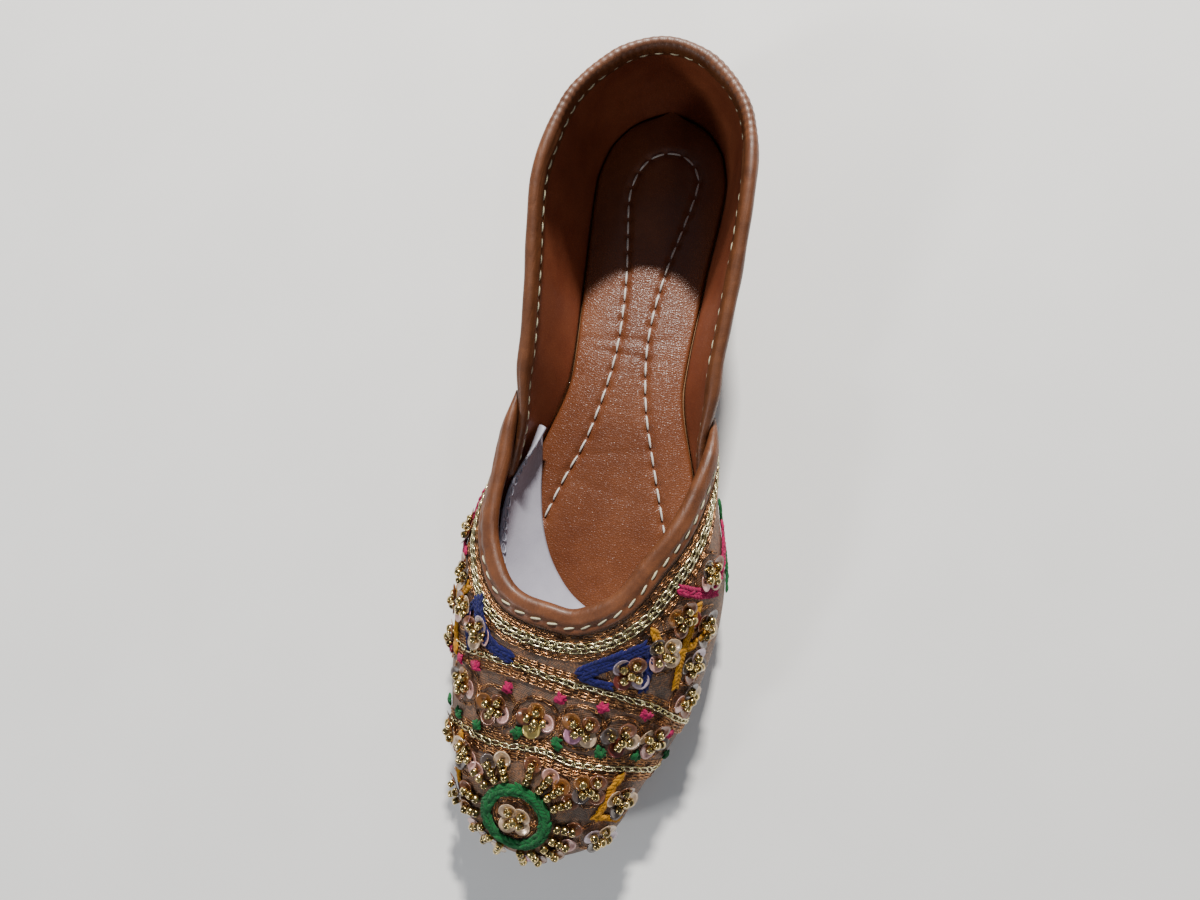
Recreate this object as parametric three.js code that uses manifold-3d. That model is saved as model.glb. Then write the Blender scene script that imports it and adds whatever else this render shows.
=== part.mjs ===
// A left mojari: a flat slip-on shoe with an embroidered vamp, a plain leather quarter and a thin leather sole.
// Millimetres. +Z is up, the toe points along -Y, and +X is the wearer's outer side, which is the left.
import * as THREE from "three";
import Module from "manifold-3d";
import { mergeVertices } from "three/addons/utils/BufferGeometryUtils.js";

const wasm = await Module();
wasm.setup();

// Driving sizes
const LENGTH = 245; // the feather line, where the upper meets the sole, from heel to toe
const SOLE = { thick: 4, margin: 1, bevel: 0.7, arch: 1.0, toeSpring: 5 };
const SOCK = { thick: 2.4, crown: 0.7, room: 2.0 }; // room: from the feather line in to the sock's edge
const GAP = 0.3; // between pieces that touch
const QUARTER_WALL = 1.6;
// The vamp's wall, on each side of the last's surface, so that it laps outside the quarter
const VAMP_WALL = { out: 1.5, in: 0.5 };
const BINDING = { thick: 0.8, vampLeg: 6.2, quarterLeg: 4.6, quarterEnd: 0.56 };
const BULGE = 2.75; // how far the wall swells out over the sole's edge
const ROUND = 2.47; // the power of each section's superellipse
const LAP = { from: 0.463, to: 0.6 }; // along the length, where vamp and quarter overlap
// The quarter's front ends are drawn in behind the vamp: along the length, below the top line, above the sock
const TUCK = { depth: 3.3, from: 0.38, full: 0.455, near: 5, far: 15, low: 4, high: 14 };

// The foot's outline on the sole. at is a share of the length from the heel, half the half width, off its shift
const OUTLINE = [
  { at: 0, half: 0, off: 0 },
  { at: 0.03, half: 16.3, off: 0 },
  { at: 0.07, half: 22.2, off: 0 },
  { at: 0.12, half: 24.4, off: 0 },
  { at: 0.25, half: 22.6, off: -0.4 },
  { at: 0.4, half: 20.8, off: -0.3 },
  { at: 0.55, half: 30, off: -0.1 },
  { at: 0.68, half: 37.4, off: 0 },
  { at: 0.8, half: 34.2, off: -1.3 },
  { at: 0.9, half: 26.4, off: -4 },
  { at: 0.96, half: 20.5, off: -4.9 },
  { at: 1, half: 0, off: -5.4 },
];
// How far the wall leans out at 46 mm above the feather line, on the inner and outer side
const FLARE = [
  { at: 0, inner: -3.5, outer: -3.5 },
  { at: 0.04, inner: -1.5, outer: -1.5 },
  { at: 0.1, inner: 3.5, outer: 3.5 },
  { at: 0.17, inner: 8.5, outer: 8.5 },
  { at: 0.25, inner: 12, outer: 11.4 },
  { at: 0.4, inner: 12.2, outer: 13.8 },
  { at: 0.55, inner: 3.5, outer: 6 },
  { at: 0.68, inner: 0, outer: 0 },
];
// The crest of the last above the feather line
const CROWN = [
  { at: 0.12, high: 84 },
  { at: 0.25, high: 84 },
  { at: 0.45, high: 60 },
  { at: 0.55, high: 46.5 },
  { at: 0.62, high: 42 },
  { at: 0.7, high: 38.5 },
  { at: 0.82, high: 28.5 },
  { at: 0.88, high: 24.5 },
];
const CREST = { heel: 0.12, toe: 0.88 }; // where the sections of the heel's and the toe's end meet the crest
// The quarter's top line above the floor, which dips inside the vamp at its front ends
const QUARTER_TOP = [
  { at: 0, high: 49 },
  { at: 0.2, high: 50 },
  { at: 0.35, high: 42.7 },
  { at: 0.4, high: 39.8 },
  { at: 0.45, high: 36.5 },
  { at: 0.5, high: 32 },
  { at: 0.55, high: 25.5 },
  { at: 0.6, high: 15 },
];
// The throat's half width as a share of each section's, from the ears (at 0) to its front (at 1)
const THROAT_FRONT = 0.786;
const THROAT = [
  { at: 0, inner: 0.925, outer: 0.944 },
  { at: 0.35, inner: 0.823, outer: 0.71 },
  { at: 0.65, inner: 0.694, outer: 0.478 },
  { at: 0.82, inner: 0.564, outer: 0.359 },
  { at: 0.93, inner: 0.372, outer: 0.209 },
  { at: 1, inner: 0, outer: 0 },
];

// The flowers of beads and sequins on the vamp. climb is in degrees, from the feather line towards the crest
const FLOWERS = [
  { at: 0.84, side: "inner", climb: 38 },
  { at: 0.896, side: "inner", climb: 59 },
  { at: 0.939, side: "inner", climb: 83 },
  { at: 0.924, side: "outer", climb: 73 },
  { at: 0.887, side: "outer", climb: 50 },
  { at: 0.857, side: "outer", climb: 33 },
  { at: 0.816, side: "outer", climb: 62 },
  { at: 0.77, side: "outer", climb: 50 },
  { at: 0.719, side: "outer", climb: 45 },
  { at: 0.713, side: "outer", climb: 30 },
  { at: 0.759, side: "outer", climb: 31 },
  { at: 0.796, side: "outer", climb: 26 },
  { at: 0.651, side: "outer", climb: 34 },
  { at: 0.785, side: "inner", climb: 49 },
  { at: 0.747, side: "inner", climb: 36 },
  { at: 0.7, side: "inner", climb: 31 },
  { at: 0.73, side: "inner", climb: 17 },
  { at: 0.775, side: "inner", climb: 20 },
  { at: 0.64, side: "inner", climb: 24 },
  { at: 0.925, side: "inner", climb: 36 },
  { at: 0.885, side: "inner", climb: 18 },
  { at: 0.952, side: "inner", climb: 17 },
  { at: 0.959, side: "outer", climb: 51 },
  { at: 0.929, side: "outer", climb: 29 },
  { at: 0.967, side: "outer", climb: 23 },
  { at: 0.998, side: "inner", climb: 43 },
];
const FLOWER = { petals: 4, radius: 4.3, wave: 0.14, edge: 1.2, core: 2.2, shoulder: 2.3, high: 2.8 };
const TOE_RING = { at: 0.998, side: "inner", climb: 43, radius: 9.6, half: 1.7, shoulder: 1.4, high: 2.2 };
const LAID_ON = 0.35; // what is sewn on the vamp lies this far off the wall's own curve, to clear its facets

/** A smooth curve through a table's rows. Its slope in each is the harmonic mean of the rises beside it. */
function curve(rows, value) {
  const x = rows.map((row) => row.at);
  const y = rows.map(value);
  const rise = x.slice(1).map((end, i) => (y[i + 1] - y[i]) / (end - x[i]));
  const slope = y.map((_, i) => {
    const before = rise[Math.max(i - 1, 0)];
    const after = rise[Math.min(i, rise.length - 1)];
    return before * after <= 0 ? 0 : (2 * before * after) / (before + after);
  });
  return (at) => {
    let i = 0;
    while (i < x.length - 2 && at >= x[i + 1]) i += 1;
    const wide = x[i + 1] - x[i];
    const t = THREE.MathUtils.clamp((at - x[i]) / wide, 0, 1);
    const [s, u] = [1 - t, wide * t * (1 - t)];
    const level = (1 + 2 * t) * s * s * y[i] + (3 - 2 * t) * t * t * y[i + 1];
    return level + u * (s * slope[i] - t * slope[i + 1]);
  };
}

const halfSquared = curve(OUTLINE, (row) => row.half ** 2);
const offset = curve(OUTLINE, (row) => row.off);
const flare = { inner: curve(FLARE, (row) => row.inner), outer: curve(FLARE, (row) => row.outer) };
const crown = curve(CROWN, (row) => row.high);
const quarterTop = curve(QUARTER_TOP, (row) => row.high);
const throat = { inner: curve(THROAT, (row) => row.inner), outer: curve(THROAT, (row) => row.outer) };

const smooth = (value, from, to) => THREE.MathUtils.smoothstep(value, from, to);
const crestAt = (at) => CREST.heel + (CREST.toe - CREST.heel) * at;
const lengthAt = (round) => (1 - Math.cos(round)) / 2;
const roundAt = (at) => Math.acos(1 - 2 * at);
const sideOf = (round) => (Math.sin(round) < 0 ? "inner" : "outer");

/** How far the sole's bend lifts everything over it: the waist's arch, and the toe spring. */
function lift(y) {
  const at = 0.5 - y / LENGTH;
  const arch = Math.sin(Math.PI * THREE.MathUtils.clamp((at - 0.25) / 0.32, 0, 1)) ** 2;
  const toe = THREE.MathUtils.clamp((at - 0.74) / 0.26, 0, 1.2) ** 2;
  return SOLE.arch * arch + SOLE.toeSpring * toe;
}

/**
 * A point of the last's surface. round goes round the shoe: 0 at the heel, pi at the toe, negative on the inner
 * side. climb is 0 at the feather line and pi / 2 at the crest, past which the other side goes down again.
 */
function last(round, climb) {
  if (climb > Math.PI / 2) return last(-round, Math.PI - climb);
  const at = lengthAt(round);
  const side = sideOf(round);
  const sign = side === "inner" ? -1 : 1;
  const half = Math.sqrt(Math.max(halfSquared(at), 0));
  const edge = new THREE.Vector2(offset(at) + sign * half, LENGTH * (0.5 - at));
  const crest = new THREE.Vector2(offset(crestAt(at)), LENGTH * (0.5 - crestAt(at)));
  const share = Math.max(Math.cos(climb), 0) ** (2 / ROUND);
  const rise = Math.sin(climb) ** (2 / ROUND);
  const high = crown(crestAt(at)) * rise;
  const swell = BULGE * 6.75 * rise * (1 - rise) ** 2;
  const lean = flare[side](at) * THREE.MathUtils.clamp(high / 46, 0, 1.3) ** 1.5;
  const reach = edge.clone().sub(crest);
  const plan = new THREE.Vector2(crest.x + reach.x * share, crest.y + reach.y * share ** 2);
  plan.addScaledVector(reach.normalize(), swell + lean);
  return new THREE.Vector3(plan.x, plan.y, SOLE.thick + GAP + high + lift(plan.y));
}

/** The last's outward direction at a point, from its two slopes. */
function outward(round, climb) {
  const [h, k] = [0.004, 0.02];
  const low = Math.max(climb - k, 0);
  const along = last(round + h, climb).sub(last(round - h, climb));
  const up = last(round, climb + k).sub(last(round, low));
  return up.cross(along).normalize();
}

/** A point off the last's surface. On the feather line it moves level, so that the sole stays clear. */
function offLast(round, climb, off) {
  const way = outward(round, climb);
  if (climb === 0) way.setZ(0).normalize();
  return last(round, climb).addScaledVector(way, off);
}

/** The climb at which a section reaches a height above the floor, before the sole's bend. */
function climbTo(at, high) {
  const share = THREE.MathUtils.clamp((high - SOLE.thick - GAP) / crown(crestAt(at)), 0, 1);
  return Math.asin(share ** (ROUND / 2));
}

/** The climb of the throat's edge, or of the crest in front of it. */
function throatClimb(round) {
  const t = (lengthAt(round) - LAP.from) / (THROAT_FRONT - LAP.from);
  if (t >= 1) return Math.PI / 2;
  return Math.acos(throat[sideOf(round)](Math.max(t, 0)) ** (ROUND / 2));
}

/** How far the quarter's front end is drawn in, strongest along its top line and nothing at the sock. */
function tuck(at, below) {
  const above = quarterTop(at) - SOLE.thick - below;
  const fade = (1 - smooth(below, TUCK.near, TUCK.far)) * smooth(above, TUCK.low, TUCK.high);
  return -TUCK.depth * smooth(at, TUCK.from, TUCK.full) * fade;
}

/** A closed mesh from triangles of points: shared points are merged and flat slivers are left out. */
function solid(triangles) {
  const geometry = new THREE.BufferGeometry().setFromPoints(triangles.flat());
  const merged = mergeVertices(geometry, 1e-3);
  const index = Array.from(merged.index.array);
  const kept = [];
  for (let i = 0; i < index.length; i += 3) {
    const [a, b, c] = index.slice(i, i + 3);
    if (a !== b && b !== c && c !== a) kept.push(a, b, c);
  }
  merged.setIndex(kept);
  return merged;
}

/** The triangles of a grid of points, rows by columns, facing along rows cross columns. */
function grid(rows, flip = false) {
  const triangles = [];
  for (let i = 0; i + 1 < rows.length; i += 1) {
    for (let j = 0; j + 1 < rows[i].length; j += 1) {
      const [a, b, c, d] = [rows[i][j], rows[i][j + 1], rows[i + 1][j + 1], rows[i + 1][j]];
      const pair = [[a, b, c], [a, c, d]];
      triangles.push(...(flip ? pair.map((t) => t.slice().reverse()) : pair));
    }
  }
  return triangles;
}

/** A wall between two grids of points over the same columns, closed round its edges. */
function wall(outer, inner, openTop) {
  const ends = [0, outer.length - 1];
  const top = outer[0].length - 1;
  const strip = (j) => outer.map((column, i) => [column[j], inner[i][j]]);
  const end = (i) => [outer[i], inner[i]];
  const topColumns = outer.map((_, i) => i).filter((i) => openTop(i));
  const topStrip = (columns) => columns.map((i) => [outer[i][top], inner[i][top]]);
  const runs = topColumns.reduce((all, i) => {
    const run = all.at(-1);
    if (run && run.at(-1) === i - 1) run.push(i);
    else all.push([i]);
    return all;
  }, []);
  return [
    ...grid(outer),
    ...grid(inner, true),
    ...grid(strip(0), true),
    ...runs.flatMap((run) => grid(topStrip(run))),
    ...grid(end(ends[0]), true),
    ...grid(end(ends[1])),
  ];
}

const spread = (count, power = 1) => Array.from({ length: count + 1 }, (_, i) => (i / count) ** power);

const QUARTER_ROUNDS = spread(52).map((t) => roundAt(LAP.to) * (2 * t - 1));

/** The quarter: one wall round the heel, from one front end to the other. */
function quarterWall() {
  const column = (off) => (round) => {
    const at = lengthAt(round);
    const top = quarterTop(at);
    return spread(8, 1.15).map((t) => {
      const climb = climbTo(at, top) * t;
      const below = top - (last(round, climb).z - lift(last(round, climb).y));
      return offLast(round, climb, climb === 0 ? off : off + tuck(at, below));
    });
  };
  return wall(QUARTER_ROUNDS.map(column(0)), QUARTER_ROUNDS.map(column(-QUARTER_WALL)), () => true);
}

/** The rounds of the vamp's columns: one side of the throat, the toe, and the other side of the throat. */
function vampRounds() {
  const wide = THROAT_FRONT - LAP.from;
  const throatSide = spread(17).map((t) => roundAt(LAP.from + wide * Math.sin((t * Math.PI) / 2)));
  const front = roundAt(THROAT_FRONT);
  const toe = spread(13).slice(1).map((t) => front + (Math.PI - front) * t);
  const half = [...throatSide, ...toe];
  return [...half, ...half.slice(0, -1).reverse().map((round) => 2 * Math.PI - round)];
}

/** The vamp: one wall over the toes, from ear to ear. In front of the throat its two sides share the crest. */
function vampWall() {
  const rounds = vampRounds();
  const wrapped = rounds.map((round) => (round > Math.PI ? round - 2 * Math.PI : round));
  const face = (off) => {
    const column = (round) => spread(11, 1.2).map((t) => offLast(round, throatClimb(round) * t, off));
    const columns = wrapped.map(column);
    const top = columns[0].length - 1;
    columns.forEach((column, i) => {
      const mirrored = columns[columns.length - 1 - i];
      if (lengthAt(rounds[i]) > THROAT_FRONT - 1e-6) mirrored[top] = column[top];
    });
    return columns;
  };
  const open = (i) => lengthAt(rounds[i]) <= THROAT_FRONT + 1e-6;
  return wall(face(VAMP_WALL.out), face(-VAMP_WALL.in), open);
}

function toManifold(triangles) {
  const geometry = solid(triangles);
  const mesh = new wasm.Mesh({
    numProp: 3,
    vertProperties: new Float32Array(geometry.attributes.position.array),
    triVerts: new Uint32Array(geometry.index.array),
  });
  return new wasm.Manifold(mesh);
}

function toGeometry(manifold) {
  const mesh = manifold.getMesh();
  const geometry = new THREE.BufferGeometry();
  geometry.setAttribute("position", new THREE.BufferAttribute(mesh.vertProperties, 3));
  geometry.setIndex(Array.from(mesh.triVerts));
  return geometry;
}

/** The upper: the quarter's and the vamp's walls, one solid where they overlap. */
function upperGeometry() {
  return toGeometry(toManifold(quarterWall()).add(toManifold(vampWall())));
}

/** The nearest point of the last to a target, found from a near guess by least squares on its two slopes. */
function settle(target, round, climb) {
  let [r, c] = [round, climb];
  for (let step = 0; step < 8; step += 1) {
    const [h, k] = [1e-3, 1e-3];
    const here = last(r, c);
    const along = last(r + h, c).sub(here).divideScalar(h);
    const up = last(r, c + k).sub(here).divideScalar(k);
    const miss = target.clone().sub(here);
    const [aa, ab, bb] = [along.dot(along), along.dot(up), up.dot(up)];
    const [ma, mb] = [miss.dot(along), miss.dot(up)];
    const det = aa * bb - ab * ab;
    r += THREE.MathUtils.clamp((ma * bb - mb * ab) / det, -0.1, 0.1);
    c = Math.max(c + THREE.MathUtils.clamp((mb * aa - ma * ab) / det, -0.1, 0.1), 0.02);
  }
  return [r, c];
}

/**
 * A binding folded over a top line: its two legs follow the wall's faces, and its top is a half round. rim is a
 * list of [round, climb], and drawnIn(at, below) is how far the wall is drawn in below its top line.
 */
function binding(rim, face, back, leg, drawnIn) {
  const middle = (face - back) / 2;
  const room = (face + back) / 2 + GAP;
  const tops = rim.map(([round, climb]) => offLast(round, climb, middle + drawnIn(lengthAt(round), 0)));
  const rings = rim.map(([round, climb], i) => {
    const run = tops[Math.min(i + 1, tops.length - 1)].clone().sub(tops[Math.max(i - 1, 0)]).normalize();
    const out = outward(round, climb);
    out.addScaledVector(run, -out.dot(run)).normalize();
    const down = out.clone().cross(run).normalize();
    const stations = [leg, leg / 2].map((below) => {
      const target = last(round, climb).addScaledVector(down, below);
      const [r, c] = settle(target, round, climb);
      return { point: last(r, c), way: outward(r, c), in: drawnIn(lengthAt(r), below) };
    });
    const legPoints = (off) => stations.map((s) => s.point.clone().addScaledVector(s.way, middle + s.in + off));
    const arc = (radius, rise) =>
      spread(4).map((t) => {
        const turn = Math.PI * t;
        const over = rise + radius * Math.sin(turn) * (rise ? 0.2 : 1);
        const lifted = tops[i].clone().addScaledVector(down, -over);
        return lifted.addScaledVector(out, radius * Math.cos(turn));
      });
    const inner = (radius) => legPoints(-radius).reverse();
    const skin = (radius, rise) => [...legPoints(radius), ...arc(radius, rise), ...inner(radius)];
    return { outside: skin(room + BINDING.thick, 0), inside: skin(room, 0.001) };
  });
  return wall(rings.map((ring) => ring.outside), rings.map((ring) => ring.inside), () => true);
}

function quarterBinding() {
  const bound = QUARTER_ROUNDS.filter((round) => lengthAt(round) < BINDING.quarterEnd);
  const rim = bound.map((round) => {
    const at = lengthAt(round);
    return [round, climbTo(at, quarterTop(at))];
  });
  return binding(rim, 0, QUARTER_WALL, BINDING.quarterLeg, tuck);
}

function vampBinding() {
  const from = LAP.from + 0.002;
  const half = spread(26).map((t) => from + (THROAT_FRONT - from) * Math.sin((t * Math.PI) / 2));
  const side = (sign) => half.map((at) => [sign * roundAt(at), throatClimb(sign * roundAt(at))]);
  const rim = [...side(1), ...side(-1).slice(0, -1).reverse()];
  return binding(rim, VAMP_WALL.out, VAMP_WALL.in, BINDING.vampLeg, () => 0);
}

/** The foot's outline grown by a margin, as pairs of points on the outer and inner side, from heel to toe. */
function outlinePairs(count, margin) {
  const rim = (round) => {
    const step = 0.004;
    const here = last(round, 0);
    const run = last(round + step, 0).sub(last(round - step, 0)).setZ(0).normalize();
    return new THREE.Vector3(here.x + run.y * -margin, here.y + run.x * margin, 0);
  };
  return spread(count).map((t) => {
    const outer = rim(Math.PI * t);
    return t === 0 || t === 1 ? [outer, outer] : [outer, rim(-Math.PI * t)];
  });
}

const raise = (point, high) => new THREE.Vector3(point.x, point.y, high + lift(point.y));

/** A slab on the foot's outline, in strips across. levels lists { margin, high } from its bottom to its top. */
function slab(count, levels, domed = 0) {
  const rings = levels.map(({ margin, high }) => {
    const pairs = outlinePairs(count, margin);
    return pairs.map((pair) => pair.map((point) => raise(point, high)));
  });
  const loop = (ring) => [...ring.map((pair) => pair[0]), ...ring.map((pair) => pair[1]).reverse()];
  const loops = rings.map((ring) => [...loop(ring), ring[0][0]]);
  const across = (ring, dome) =>
    ring.map(([outer, inner]) => {
      if (dome === 0) return [outer, inner];
      const swell = dome * Math.min(outer.distanceTo(inner) / 30, 1);
      const raised = (share) => outer.clone().lerp(inner, share).setZ(outer.z + swell);
      return [outer, raised(0.2), raised(0.8), inner];
    });
  return [...grid(across(rings[0], 0), true), ...grid(across(rings.at(-1), domed)), ...grid(loops, true)];
}

function outsoleGeometry() {
  return solid(
    slab(48, [
      { margin: SOLE.margin - SOLE.bevel, high: 0 },
      { margin: SOLE.margin, high: SOLE.bevel },
      { margin: SOLE.margin, high: SOLE.thick },
    ]),
  );
}

function insoleGeometry() {
  const floor = SOLE.thick + GAP;
  return solid(
    slab(
      40,
      [
        { margin: -SOCK.room, high: floor },
        { margin: -SOCK.room, high: floor + SOCK.thick - SOCK.crown },
      ],
      SOCK.crown,
    ),
  );
}

/** Points of the vamp's face round a place on it. spoke gives [radius, height off the wall] for an angle. */
function aroundPlace({ at, side, climb }, count, spoke) {
  const round = roundAt(at) * (side === "inner" ? -1 : 1);
  const high = THREE.MathUtils.degToRad(climb);
  const centre = last(round, high);
  const way = outward(round, high);
  const across = new THREE.Vector3(1, 0, 0).cross(way).normalize();
  const along = way.clone().cross(across);
  return spread(count).slice(0, -1).map((t) => {
    const angle = 2 * Math.PI * t;
    const [radius, off] = spoke(angle);
    const target = centre.clone().addScaledVector(along, radius * Math.cos(angle));
    target.addScaledVector(across, radius * Math.sin(angle));
    return offLast(...settle(target, round, high), VAMP_WALL.out + off);
  });
}

const closed = (ring) => [...ring, ring[0]];

/** One flower: a lobed disc of sequins with a mound of beads on its middle. */
function flowerGeometry(place) {
  const lobes = (angle) => FLOWER.radius * (1 + FLOWER.wave * Math.cos(FLOWER.petals * angle));
  const ring = (spoke) => closed(aroundPlace(place, 3 * FLOWER.petals, spoke));
  const rings = [
    ring(() => [0, LAID_ON]),
    ring((angle) => [lobes(angle), LAID_ON]),
    ring((angle) => [lobes(angle), FLOWER.edge]),
    ring(() => [FLOWER.core, FLOWER.shoulder]),
    ring(() => [0, FLOWER.high]),
  ];
  return solid(grid(rings, true));
}

/** The ring of wool round the toe's medallion, which follows the toe's curve. */
function toeRingGeometry() {
  const { radius, half, shoulder, high } = TOE_RING;
  const section = [
    [radius - half, LAID_ON],
    [radius - half, shoulder],
    [radius, high],
    [radius + half, shoulder],
    [radius + half, LAID_ON],
  ];
  const rings = closed(section).map((spoke) => closed(aroundPlace(TOE_RING, 24, () => spoke)));
  return solid(grid(rings));
}

const LEATHER = { roughness: 0.5, metalness: 0 };
const FINISH = {
  outsole: { color: 0x9a7148, ...LEATHER },
  upper: { color: 0x8a5a3a, roughness: 0.6, metalness: 0.1 },
  insole: { color: 0x8a4a28, ...LEATHER },
  binding: { color: 0x8d5a35, ...LEATHER },
  wool: { color: 0x0a7a3c, roughness: 1, metalness: 0 },
  beads: { color: 0x9a7a3a, roughness: 0.35, metalness: 0.8 },
};

const shoe = new THREE.Group();

function add(name, geometry, finish) {
  geometry.deleteAttribute("normal");
  geometry.computeVertexNormals();
  const mesh = new THREE.Mesh(geometry, new THREE.MeshStandardMaterial(finish));
  mesh.name = name;
  shoe.add(mesh);
}

add("outsole", outsoleGeometry(), FINISH.outsole);
add("insole", insoleGeometry(), FINISH.insole);
add("upper", upperGeometry(), FINISH.upper);
add("quarter_binding", solid(quarterBinding()), FINISH.binding);
add("vamp_binding", solid(vampBinding()), FINISH.binding);
add("toe_ring", toeRingGeometry(), FINISH.wool);
FLOWERS.forEach((place, i) => add(`flower_${i + 1}`, flowerGeometry(place), FINISH.beads));

// The row's origin is the middle of the shoe's box, on the floor
const box = new THREE.Box3().setFromObject(shoe);
const middle = box.getCenter(new THREE.Vector3());
shoe.position.set(-middle.x, -middle.y, -box.min.z);

export default shoe;
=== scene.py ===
# %% [markdown]
# # A left mojari
# A mojari is a flat slip-on shoe. Its vamp is cloth covered in metal thread, wool, sequins and seed beads.
# Its quarter is plain tan leather. Both are bound with a folded strip and sewn to a thin leather sole. The
# CAD model gives the shoe's length and place, and the tables below repeat the sizes that it was made from.
# This script dresses it: each new surface is worked out with numpy from the same last.

import bmesh
import bpy
import numpy as np
from mathutils import Matrix, Vector


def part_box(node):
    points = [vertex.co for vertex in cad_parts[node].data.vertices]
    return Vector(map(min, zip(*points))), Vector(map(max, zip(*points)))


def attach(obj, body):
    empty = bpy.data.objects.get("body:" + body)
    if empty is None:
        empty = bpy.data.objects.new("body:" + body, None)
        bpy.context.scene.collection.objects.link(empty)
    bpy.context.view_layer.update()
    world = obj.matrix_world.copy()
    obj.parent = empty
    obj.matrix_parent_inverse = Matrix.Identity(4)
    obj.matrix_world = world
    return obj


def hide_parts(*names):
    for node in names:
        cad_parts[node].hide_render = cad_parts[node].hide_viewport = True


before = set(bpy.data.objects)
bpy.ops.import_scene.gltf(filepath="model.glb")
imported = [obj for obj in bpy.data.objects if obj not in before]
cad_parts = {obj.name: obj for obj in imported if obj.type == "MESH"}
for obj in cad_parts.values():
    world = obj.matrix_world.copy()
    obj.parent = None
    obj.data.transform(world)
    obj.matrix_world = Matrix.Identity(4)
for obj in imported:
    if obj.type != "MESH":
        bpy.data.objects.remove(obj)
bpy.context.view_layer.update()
MM = 0.001
SOLE_MARGIN = 1.0
low, high = (np.array(corner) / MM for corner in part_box("outsole"))
LENGTH = high[1] - low[1] - 2 * SOLE_MARGIN
SHIFT = np.array([(low[0] + high[0]) / 2, high[1] - SOLE_MARGIN - LENGTH / 2, 0.0])
print(f"feather line {LENGTH:.1f} mm long, shifted by {SHIFT.round(2)} mm")

# %% [markdown]
# ## The last
# A shoe is made round a last, so one function of two angles gives the whole form. The first angle goes round
# the shoe, 0 at the heel and half a turn at the toe. The second climbs from the feather line to the crest.
# Short tables hold the sizes, and a curve through their rows gives everything between. The form could also be
# sculpted, but then nothing would fit the CAD model, which comes from the same formula.

# %% Tables of the last
# share of the length from the heel, half width, sideways shift
OUTLINE = np.array([
    [0, 0, 0], [0.03, 16.3, 0], [0.07, 22.2, 0], [0.12, 24.4, 0], [0.25, 22.6, -0.4], [0.4, 20.8, -0.3],
    [0.55, 30, -0.1], [0.68, 37.4, 0], [0.8, 34.2, -1.3], [0.9, 26.4, -4], [0.96, 20.5, -4.9], [1, 0, -5.4],
])
# share of the length, lean outwards on the inner side and on the outer side
FLARE = np.array([
    [0, -3.5, -3.5], [0.04, -1.5, -1.5], [0.1, 3.5, 3.5], [0.17, 8.5, 8.5],
    [0.25, 12, 11.4], [0.4, 12.2, 13.8], [0.55, 3.5, 6], [0.68, 0, 0],
])
# share of the length, height of the crest
CROWN = np.array([
    [0.12, 84], [0.25, 84], [0.45, 60], [0.55, 46.5], [0.62, 42], [0.7, 38.5], [0.82, 28.5], [0.88, 24.5],
])
# share of the length, height of the quarter's top line
QUARTER_TOP = np.array([
    [0, 49], [0.2, 50], [0.35, 42.7], [0.4, 39.8], [0.45, 36.5], [0.5, 32], [0.55, 25.5], [0.6, 15],
])
# share of the throat's length, half width as a share of the section's on the inner and on the outer side
THROAT = np.array([
    [0, 0.925, 0.944], [0.35, 0.823, 0.71], [0.65, 0.694, 0.478], [0.82, 0.564, 0.359], [0.93, 0.372, 0.209],
    [1, 0, 0],
])
# shares of the length: the vamp's ears, the throat's front, and the quarter's ends inside the vamp
EAR, THROAT_FRONT, LAP_END = 0.463, 0.786, 0.6
# shares of the length: the crest's start over the heel, and how far it runs
CREST_START, CREST_SPAN = 0.12, 0.76
# shares of the length: the arch under the waist, and where the toe begins to spring; then the spring's height
ARCH_START, ARCH_SPAN, SPRING_START, TOE_SPRING = 0.25, 0.32, 0.74, 5.0
# the feather line's height, the swell over the sole's edge, the section's power, and the lean's full height
FLOOR, BULGE, ROUND, LEAN_HEIGHT = 4.3, 2.75, 2.47, 46
# the vamp's two faces and the quarter's wall, measured from the last, and how far the quarter's ends go in
VAMP_OUT, VAMP_IN, QUARTER_WALL, TUCKED = 1.5, 0.5, 1.6, 2.3
# small steps of the two angles, for slopes
TURN_STEP, CLIMB_STEP = 0.004, 0.02


# %% Curves through the tables
def curve(x, y):
    """A smooth curve through points: its slope at each is the harmonic mean of the rises on both sides."""
    x, y = np.asarray(x, float), np.asarray(y, float)
    rise = np.diff(y) / np.diff(x)
    slope = np.concatenate([rise[:1], np.zeros(len(x) - 2), rise[-1:]])
    before, after = rise[:-1], rise[1:]
    steady = before * after > 0
    slope[1:-1][steady] = (2 * before * after)[steady] / (before + after)[steady]

    def value(at):
        at = np.asarray(at, float)
        i = np.clip(np.searchsorted(x, at, side="right") - 1, 0, len(x) - 2)
        wide = x[i + 1] - x[i]
        t = np.clip((at - x[i]) / wide, 0, 1)
        level = (1 + 2 * t) * (1 - t) ** 2 * y[i] + (3 - 2 * t) * t * t * y[i + 1]
        return level + wide * t * (1 - t) * ((1 - t) * slope[i] - t * slope[i + 1])

    return value


half_squared = curve(OUTLINE[:, 0], OUTLINE[:, 1] ** 2)
shift_at = curve(OUTLINE[:, 0], OUTLINE[:, 2])
flare_inner, flare_outer = (curve(FLARE[:, 0], FLARE[:, k]) for k in (1, 2))
crown = curve(CROWN[:, 0], CROWN[:, 1])
quarter_top = curve(QUARTER_TOP[:, 0], QUARTER_TOP[:, 1])
throat_inner, throat_outer = (curve(THROAT[:, 0], THROAT[:, k]) for k in (1, 2))


def smooth(value, start, end):
    """0 before start and 1 after end, with the cubic 3t^2 - 2t^3 between."""
    t = np.clip((value - start) / (end - start), 0, 1)
    return t * t * (3 - 2 * t)


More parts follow.
